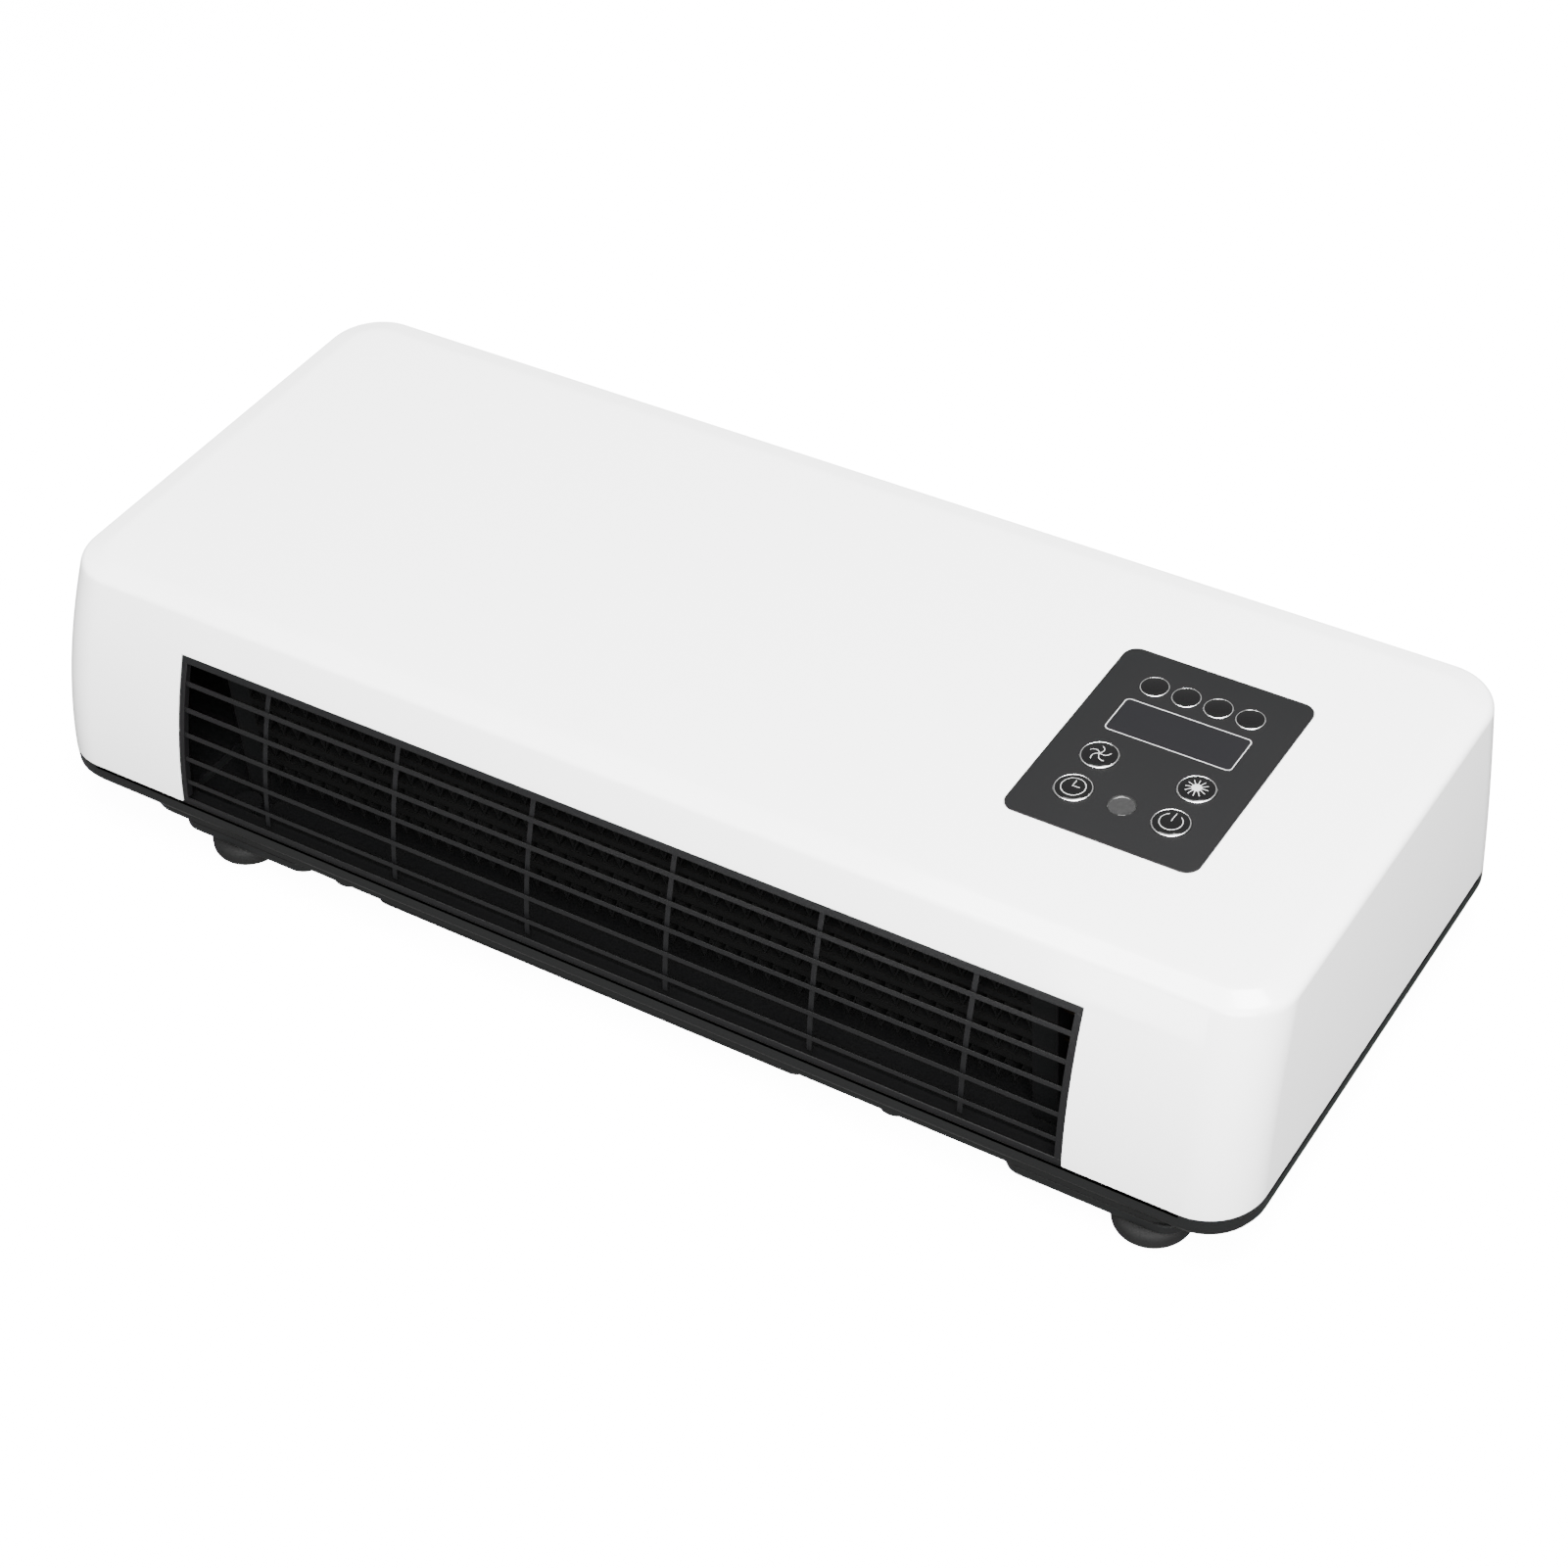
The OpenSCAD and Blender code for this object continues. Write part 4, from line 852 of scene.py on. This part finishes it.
class HEATER_OT_panel(bpy.types.Operator):
    """Makes the overlay, the display window, the indicator lenses and the infrared window"""
    bl_idname = "heater.panel"
    bl_label = "Control panel"
    film_round = 0.12 * MM
    glass_round = 0.1 * MM
    window_corner = 1.6 * MM
    outline_width = 0.32 * MM
    lens_radius = 4.75 * MM
    lens_rise = 0.5 * MM
    lens_edge = 0.05 * MM
    lens_ring_width = 0.3 * MM
    lens_ring_height = 0.08 * MM
    infrared_edge = 0.04 * MM
    infrared_round = 0.05 * MM
    infrared_lip = 0.15 * MM
    dish_depth = 0.45 * MM
    dish_steps = 6

    def execute(self, context):
        overlay = softened_copy("control_overlay", "overlay_film", self.film_round)
        finish_piece(overlay, "film")
        self.window()
        self.lenses()
        self.infrared()
        return {"FINISHED"}

    def window(self):
        """The smoked window and the white outline printed inside its edge."""
        glass = softened_copy("display_window", "display_glass", self.glass_round)
        finish_piece(glass, "smoked window")
        size = (WINDOW_HIGH - WINDOW_LOW) / 2
        half_x = size.x - self.outline_width / 2
        half_y = size.y - self.outline_width / 2
        points = rounded_outline(-half_x, half_x, -half_y, half_y, self.window_corner, 8)
        outline = print_piece("display_outline", [stroke(points, self.outline_width, closed=True)],
                              (WINDOW_LOW + WINDOW_HIGH) / 2, lambda r: WINDOW_HIGH.z, flatness=0.1)
        finish_piece(outline, "white print")

    def lenses(self):
        """Four lenses in a row, each inside a bright ring and otherwise bare."""
        middle_y = (LENS_LOW.y + LENS_HIGH.y) / 2
        first = LENS_LOW.x + self.lens_radius
        pitch = (LENS_HIGH.x - LENS_LOW.x - 2 * self.lens_radius) / 3
        edge = PANEL_TOP + self.lens_edge
        for i, use in enumerate(("power", "cool", "warm", "timer")):
            x = first + i * pitch
            lens = domed_disc("lens_" + use, x, middle_y, self.lens_radius, LENS_LOW.z, edge,
                              self.lens_rise)
            if i == 0:
                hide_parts("indicator_lenses")
            finish_piece(lens, "dark dome")
            circle = arc(self.lens_radius - self.lens_ring_width / 2, 0, 360, 64)[:-1]
            ring = print_piece("lens_ring_" + use, [stroke(circle, self.lens_ring_width, closed=True)],
                               Vector((x, middle_y, 0)),
                               lambda r: edge + dome_height(self.lens_radius, self.lens_rise, r),
                               flatness=0.4, limit=self.lens_ring_height)
            finish_piece(ring, "bright ring")

    def infrared(self):
        """A round window, dished, with a rounded inner edge that catches the light."""
        middle = (INFRARED_LOW + INFRARED_HIGH) / 2
        radius = (INFRARED_HIGH.x - INFRARED_LOW.x) / 2
        top = PANEL_TOP + self.infrared_edge
        inner = radius - self.infrared_lip
        profile = [(radius, INFRARED_LOW.z), (radius, top - self.infrared_round),
                   (radius - self.infrared_round, top), (inner, top)]
        for i in range(1, self.dish_steps + 1):
            turn = math.radians(90 / self.dish_steps * i)
            profile.append((inner - self.dish_depth * (1 - math.cos(turn)),
                            top - self.dish_depth * math.sin(turn)))
        rings = [[(x, y, z) for x, y in arc(reach, 0, 360, 64, (middle.x, middle.y))[:-1]]
                 for reach, z in profile]
        lens = swept("infrared_lens", rings)
        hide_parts("infrared_window")
        finish_piece(lens, "clear grey")


def outlet_y(z):
    """The outlet wall's outer face at a height in the frame."""
    return COVER_LOW.y + wall_sets(z - COVER_LOW.z)[0]


class HEATER_OT_grille(bpy.types.Operator):
    """Makes the outlet grille: a bowed frame, long bars and upright ribs behind them"""
    bl_idname = "heater.grille"
    bl_label = "Grille"
    frame_width = 2.2 * MM
    frame_depth = 2.6 * MM
    frame_set = 0.3 * MM
    rail_top_depth = 0.3 * MM
    bar_count = 5
    bar_width = 1.7 * MM
    bar_depth = 1.6 * MM
    bar_set = 0.9 * MM
    bar_shift = 0.4 * MM
    rib_count = 6
    rib_pitch = 54 * MM
    rib_width = 2.0 * MM
    rib_depth = 1.6 * MM
    rib_set = 2.3 * MM
    levels = 12

    def execute(self, context):
        sizes = context.scene.heater_sizes
        low, high = GRILLE_LOW.z, GRILLE_HIGH.z
        half = (GRILLE_HIGH.x - GRILLE_LOW.x) / 2
        pieces = [self.rail("rail_low", half, low, low + self.frame_width),
                  self.rail("rail_high", half, high - self.frame_width, high)]
        for side in (-1, 1):
            pieces.append(self.upright("stile", side * (half - self.frame_width / 2), self.frame_width,
                                       self.frame_width, self.frame_set, self.frame_depth))
        for i in range(self.bar_count):
            middle = COVER_LOW.z - self.bar_shift + sizes.outlet_height * (i + 1) / (self.bar_count + 1)
            pieces.append(self.bar(half - self.frame_width / 2, middle))
        for i in range(self.rib_count):
            middle = (i - (self.rib_count - 1) / 2) * self.rib_pitch
            pieces.append(self.upright("rib", middle, self.rib_width, 0.0, self.rib_set, self.rib_depth))
        grille = joined("grille", pieces)
        round_edges(grille, 0.2 * MM, 3, 40)
        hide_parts("outlet_grille")
        finish_piece(grille, "satin black")
        return {"FINISHED"}

    def rail(self, name, half, low, high):
        """A frame member along the outlet, leaning with the wall."""
        section = [(outlet_y(low) + self.frame_set, low), (outlet_y(high) + self.frame_set, high),
                   (outlet_y(high) + self.frame_set + self.rail_top_depth, high),
                   (outlet_y(low) + self.frame_depth, low)]
        return swept(name, [[(x, y, z) for y, z in section] for x in (-half, half)])

    def bar(self, half, middle):
        """A long bar with a face that leans with the wall and an undercut back."""
        low, high = middle - self.bar_width / 2, middle + self.bar_width / 2
        section = [(outlet_y(low) + self.bar_set, low), (outlet_y(high) + self.bar_set, high),
                   (outlet_y(high) + self.bar_set + self.bar_depth, low)]
        return swept("bar", [[(x, y, z) for y, z in section] for x in (-half, half)])

    def upright(self, name, middle, front_width, back_width, set_back, depth):
        """A member that follows the bow of the wall from the lower rail to the upper."""
        low, high = GRILLE_LOW.z + self.frame_width, GRILLE_HIGH.z - self.frame_width
        rings = []
        for i in range(self.levels + 1):
            z = low + (high - low) * i / self.levels
            face = outlet_y(z) + set_back
            ring = [(middle - front_width / 2, face, z), (middle + front_width / 2, face, z),
                    (middle + back_width / 2, face + depth, z)]
            if back_width:
                ring.append((middle - back_width / 2, face + depth, z))
            rings.append(ring)
        return swept(name, rings)


class HEATER_OT_housing(bpy.types.Operator):
    """Makes the base with its rim, pan, pads and steps, the feet and the cable gland"""
    bl_idname = "heater.housing"
    bl_label = "Base and feet"
    rim_gap = 0.02 * MM
    land = 5 * MM
    shelf_drop = 8 * MM
    rim_inset = 1.6 * MM
    band = 4 * MM
    pan_set = 2.9 * MM
    pan_ends = (-195.5 * MM, 212 * MM)
    pan_low = 11.9 * MM
    pan_radius = 14 * MM
    overlap = 0.2 * MM
    pad_low = 7.9 * MM
    pad_width = 28 * MM
    pad_corner = 8 * MM
    pads = ((-179 * MM, -120.5 * MM), (147 * MM, 209.5 * MM))
    step_low = 10.3 * MM
    step_width = 18 * MM
    step_corner = 6 * MM
    step = (-94 * MM, 78 * MM)
    pad_round = 0.8 * MM
    foot_radius = 13.0 * MM
    foot_height = 7.9 * MM
    foot_edge = 3 * MM
    foot_forward = 1.1 * MM
    foot_floor = 2.5 * MM
    hollow_radius = 4.4 * MM
    hollow_low = -1 * MM
    gland_round = 0.4 * MM

    def execute(self, context):
        sizes = context.scene.heater_sizes
        base = softened_copy("base_tray", "base_body", sizes.edge_round)
        base = joined("base", [base, self.rim(sizes), self.pan(), *self.pads_and_steps()])
        finish_piece(base, "satin charcoal")
        # Painted shade: the base's upward and inner faces take the darker black plastic, so the floor seen
        # through the outlet reads as if it lay in shadow
        base.data.materials.append(material_for("black plastic"))
        for face in base.data.polygons:
            if face.normal.z > 0.5 or face.center.z > COVER_LOW.z:
                face.material_index = 1
        self.feet()
        gland = softened_copy("cable_gland", "gland", self.gland_round)
        finish_piece(gland, "rubber")
        return {"FINISHED"}

    def rim(self, sizes):
        """An upright land below the cover's edge, then a slope in to the shelf."""
        top = COVER_LOW.z - self.rim_gap
        shelf = top - self.shelf_drop
        profile = [(0.0, top), (0.0, top - self.land), (0.15 * MM, top - self.land - 0.4 * MM),
                   (self.rim_inset, shelf + 0.3 * MM), (self.rim_inset + 0.4 * MM, shelf),
                   (self.band, shelf), (self.band, top)]
        box = (COVER_LOW.x, COVER_HIGH.x, COVER_LOW.y, COVER_HIGH.y)
        rim = edge_band("rim", box, sizes.corner, profile)
        cut(rim, gland_cutter())
        return rim

    def pan(self):
        """The pan's outer wall with a rounded lower edge."""
        shelf = COVER_LOW.z - self.shelf_drop
        profile = [(0.0, shelf), (0.0, self.pan_low + 0.5 * MM), (0.15 * MM, self.pan_low + 0.15 * MM),
                   (0.5 * MM, self.pan_low), (self.band, self.pan_low), (self.band, shelf)]
        box = (*self.pan_ends, COVER_LOW.y + self.pan_set, COVER_HIGH.y - self.pan_set)
        return edge_band("pan_wall", box, self.pan_radius, profile)

    def pads_and_steps(self):
        """The raised pads under the feet and the shallow steps between them, front and back."""
        edge = BODY_WIDTH / 2 - self.pan_set
        top = self.pan_low + self.overlap
        pad = (self.pad_width, self.pad_corner, self.pad_low)
        step = (self.step_width, self.step_corner, self.step_low)
        forms = [("pad", ends, *pad) for ends in self.pads] + [("step", self.step, *step)]
        pieces = []
        for side in (-1, 1):
            for name, (start, end), width, corner, low in forms:
                middle = ((start + end) / 2, side * (edge - width / 2))
                pieces.append(rounded_plate(name, end - start, width, corner, low, top, middle))
        for piece in pieces:
            round_edges(piece, self.pad_round, 3, 50)
        return pieces

    def feet(self):
        """Four rubber feet with rounded lower edges and a hollow for the screw."""
        low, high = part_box("rubber_feet")
        spots = [(x, y) for x in (low.x + self.foot_radius, high.x - self.foot_radius)
                 for y in (low.y + self.foot_radius - self.foot_forward,
                           high.y - self.foot_radius + self.foot_forward)]
        feet = []
        for x, y in spots:
            foot = rod("foot", x, y, self.foot_radius, 0.0, self.foot_height, 72)
            round_edges(foot, self.foot_edge, 6, 50)
            cut(foot, rod("hollow", x, y, self.hollow_radius, self.hollow_low,
                          self.foot_height - self.foot_floor, 48))
            feet.append(foot)
        piece = joined("feet", feet)
        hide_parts("rubber_feet")
        finish_piece(piece, "rubber")


class HEATER_OT_inside(bpy.types.Operator):
    """Gives the pieces of the frame their finishes"""
    bl_idname = "heater.inside"
    bl_label = "Inner pieces"
    finishes = {
        "steel": ("foot_screws", "control_board_screws", "cover_screws", "power_board_screws", "fan_shaft"),
        "laminated steel": ("motor_rotor", "motor_stator"),
        "blackened steel": ("motor_front_bell", "motor_rear_bell"),
        "copper winding": ("motor_windings",),
        "brass": ("fan_bush",),
        # The terminals take brass darkened as painted shade
        "oxidised brass": ("heater_terminals",),
        "black plastic": ("tact_switches", "display_module", "infrared_receiver", "fan_wheel", "air_duct",
                          "duct_tongue", "heater_end_blocks", "capacitor"),
        # The fins and elements take a near-black finish as painted shade
        "dark core": ("heating_elements", "heating_fins"),
        "ceramic": ("indicator_lamps", "thermostat", "thermal_fuse"),
        "rubber": ("bush_holder",),
        "board": ("control_board", "power_board"),
        "blue plastic": ("relays",),
        "taped winding": ("transformer",),
        "green plastic": ("terminal_block",),
        "satin charcoal": ("front_cover", "base_tray", "outlet_grille", "rubber_feet", "cable_gland"),
    }

    def execute(self, context):
        for kind, nodes in self.finishes.items():
            for node in nodes:
                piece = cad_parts[node]
                if not piece.material_slots:
                    raise RuntimeError(f"{node} has no material slot")
                for slot in piece.material_slots:
                    slot.material = material_for(kind)
        return {"FINISHED"}


class HEATER_OT_stage(bpy.types.Operator):
    """Makes the pale floor, the soft lights and the camera"""
    bl_idname = "heater.stage"
    bl_label = "Stage"
    # Camera solved from the photograph: turn, height and roll in degrees, distance and aim in metres
    turn = 35.1313
    height = 41.884
    roll = -4.5756
    distance = 1.13668
    aim = (0.0068026, 0.0086866)
    focal_pixels = 3409.36
    frame_pixels = 1601
    sensor_width = 36.0
    # Lights: place and size in metres, power in watts; each looks at a point just above the floor
    area_lights = (("Key light", (0.72, -1.0, 0.95), (1.1, 1.1), 100.0),
                   ("Top light", (0.1, 0.0, 1.9), (1.6, 1.6), 143.0),
                   ("End light", (1.5, -0.2, 0.7), (0.8, 0.8), 10.0),
                   ("Low strip", (-0.19, -1.22, 0.19), (0.12, 0.25), 2.0),
                   ("Small overhead light", (0.07, 0.50, 1.44), (0.34, 0.3), 15.0))
    light_aim = (0, 0, 0.05)

    def execute(self, context):
        self.floor()
        self.lights(context)
        self.camera(context)
        return {"FINISHED"}

    def floor(self):
        """A pale floor that shines as a lit studio sweep does, and throws no light upwards."""
        floor = primitive("floor", bpy.ops.mesh.primitive_plane_add, size=60, location=(0, 0, 0))
        floor.data.materials.append(moulded(
            "Pale floor", (0.92, 0.92, 0.92), 0.9, grain=300.0, depth=0.001, gloss=0.02, shade=0.005,
            drift=2.0, Emission_Color=(1.0, 1.0, 1.0, 1.0), Emission_Strength=12.0))
        floor.visible_diffuse = False
        floor.visible_glossy = False

    def lights(self, context):
        world = bpy.data.worlds.new("Soft room")
        world.use_nodes = True
        background = world.node_tree.nodes["Background"]
        background.inputs["Color"].default_value = (1.0, 1.0, 1.0, 1.0)
        background.inputs["Strength"].default_value = 0.5
        context.scene.world = world
        for name, place, size, power in self.area_lights:
            start_clean()
            bpy.ops.object.light_add(type="AREA", location=place)
            light = context.active_object
            light.name = name
            light.data.shape = "RECTANGLE"
            light.data.size, light.data.size_y = size
            light.data.energy = power
            look = Vector(self.light_aim) - Vector(place)
            light.rotation_euler = look.to_track_quat("-Z", "Y").to_euler()

    def camera(self, context):
        turn, height, roll = (math.radians(a) for a in (self.turn, self.height, self.roll))
        back = Vector((math.sin(turn) * math.cos(height), -math.cos(turn) * math.cos(height),
                       math.sin(height)))
        right = Vector((0, 0, 1)).cross(back).normalized()
        up = back.cross(right)
        across = math.cos(roll) * right + math.sin(roll) * up
        above = -math.sin(roll) * right + math.cos(roll) * up
        start_clean()
        bpy.ops.object.camera_add(location=back * self.distance + Vector((*self.aim, COVER_LOW.z)))
        camera = context.active_object
        camera.name = "Photograph view"
        camera.rotation_mode = "QUATERNION"
        camera.rotation_quaternion = Matrix((across, above, back)).transposed().to_quaternion()
        camera.data.sensor_width = self.sensor_width
        camera.data.lens = self.sensor_width * self.focal_pixels / self.frame_pixels
        camera.data.clip_start = 0.01
        context.scene.camera = camera


class HEATER_PT_panel(bpy.types.Panel):
    """Lists the heater's settings and pieces in the sidebar"""
    bl_idname = "HEATER_PT_panel"
    bl_label = "Heater"
    bl_space_type = "VIEW_3D"
    bl_region_type = "UI"
    bl_category = "Heater"

    def draw(self, context):
        for settings in (context.scene.heater_sizes, context.scene.heater_colours):
            column = self.layout.column()
            for name in settings.bl_rna.properties.keys():
                if name not in ("rna_type", "name"):
                    column.prop(settings, name)
        for operator in PIECES:
            self.layout.operator(operator.bl_idname)


PIECES = (HEATER_OT_stage, HEATER_OT_inside, HEATER_OT_cover, HEATER_OT_grille, HEATER_OT_housing,
          HEATER_OT_panel, HEATER_OT_keys)
CLASSES = (HeaterSizes, HeaterColours, *PIECES, HEATER_PT_panel)


def register():
    for item in CLASSES:
        bpy.utils.register_class(item)
    bpy.types.Scene.heater_sizes = PointerProperty(type=HeaterSizes)
    bpy.types.Scene.heater_colours = PointerProperty(type=HeaterColours)


def unregister():
    del bpy.types.Scene.heater_colours
    del bpy.types.Scene.heater_sizes
    for item in reversed(CLASSES):
        bpy.utils.unregister_class(item)


def main():
    register()
    bpy.ops.heater.stage()
    bpy.ops.heater.inside()
    bpy.ops.heater.cover()
    bpy.ops.heater.grille()
    bpy.ops.heater.housing()
    bpy.ops.heater.panel()
    bpy.ops.heater.keys()


if __name__ == "__main__":
    main()
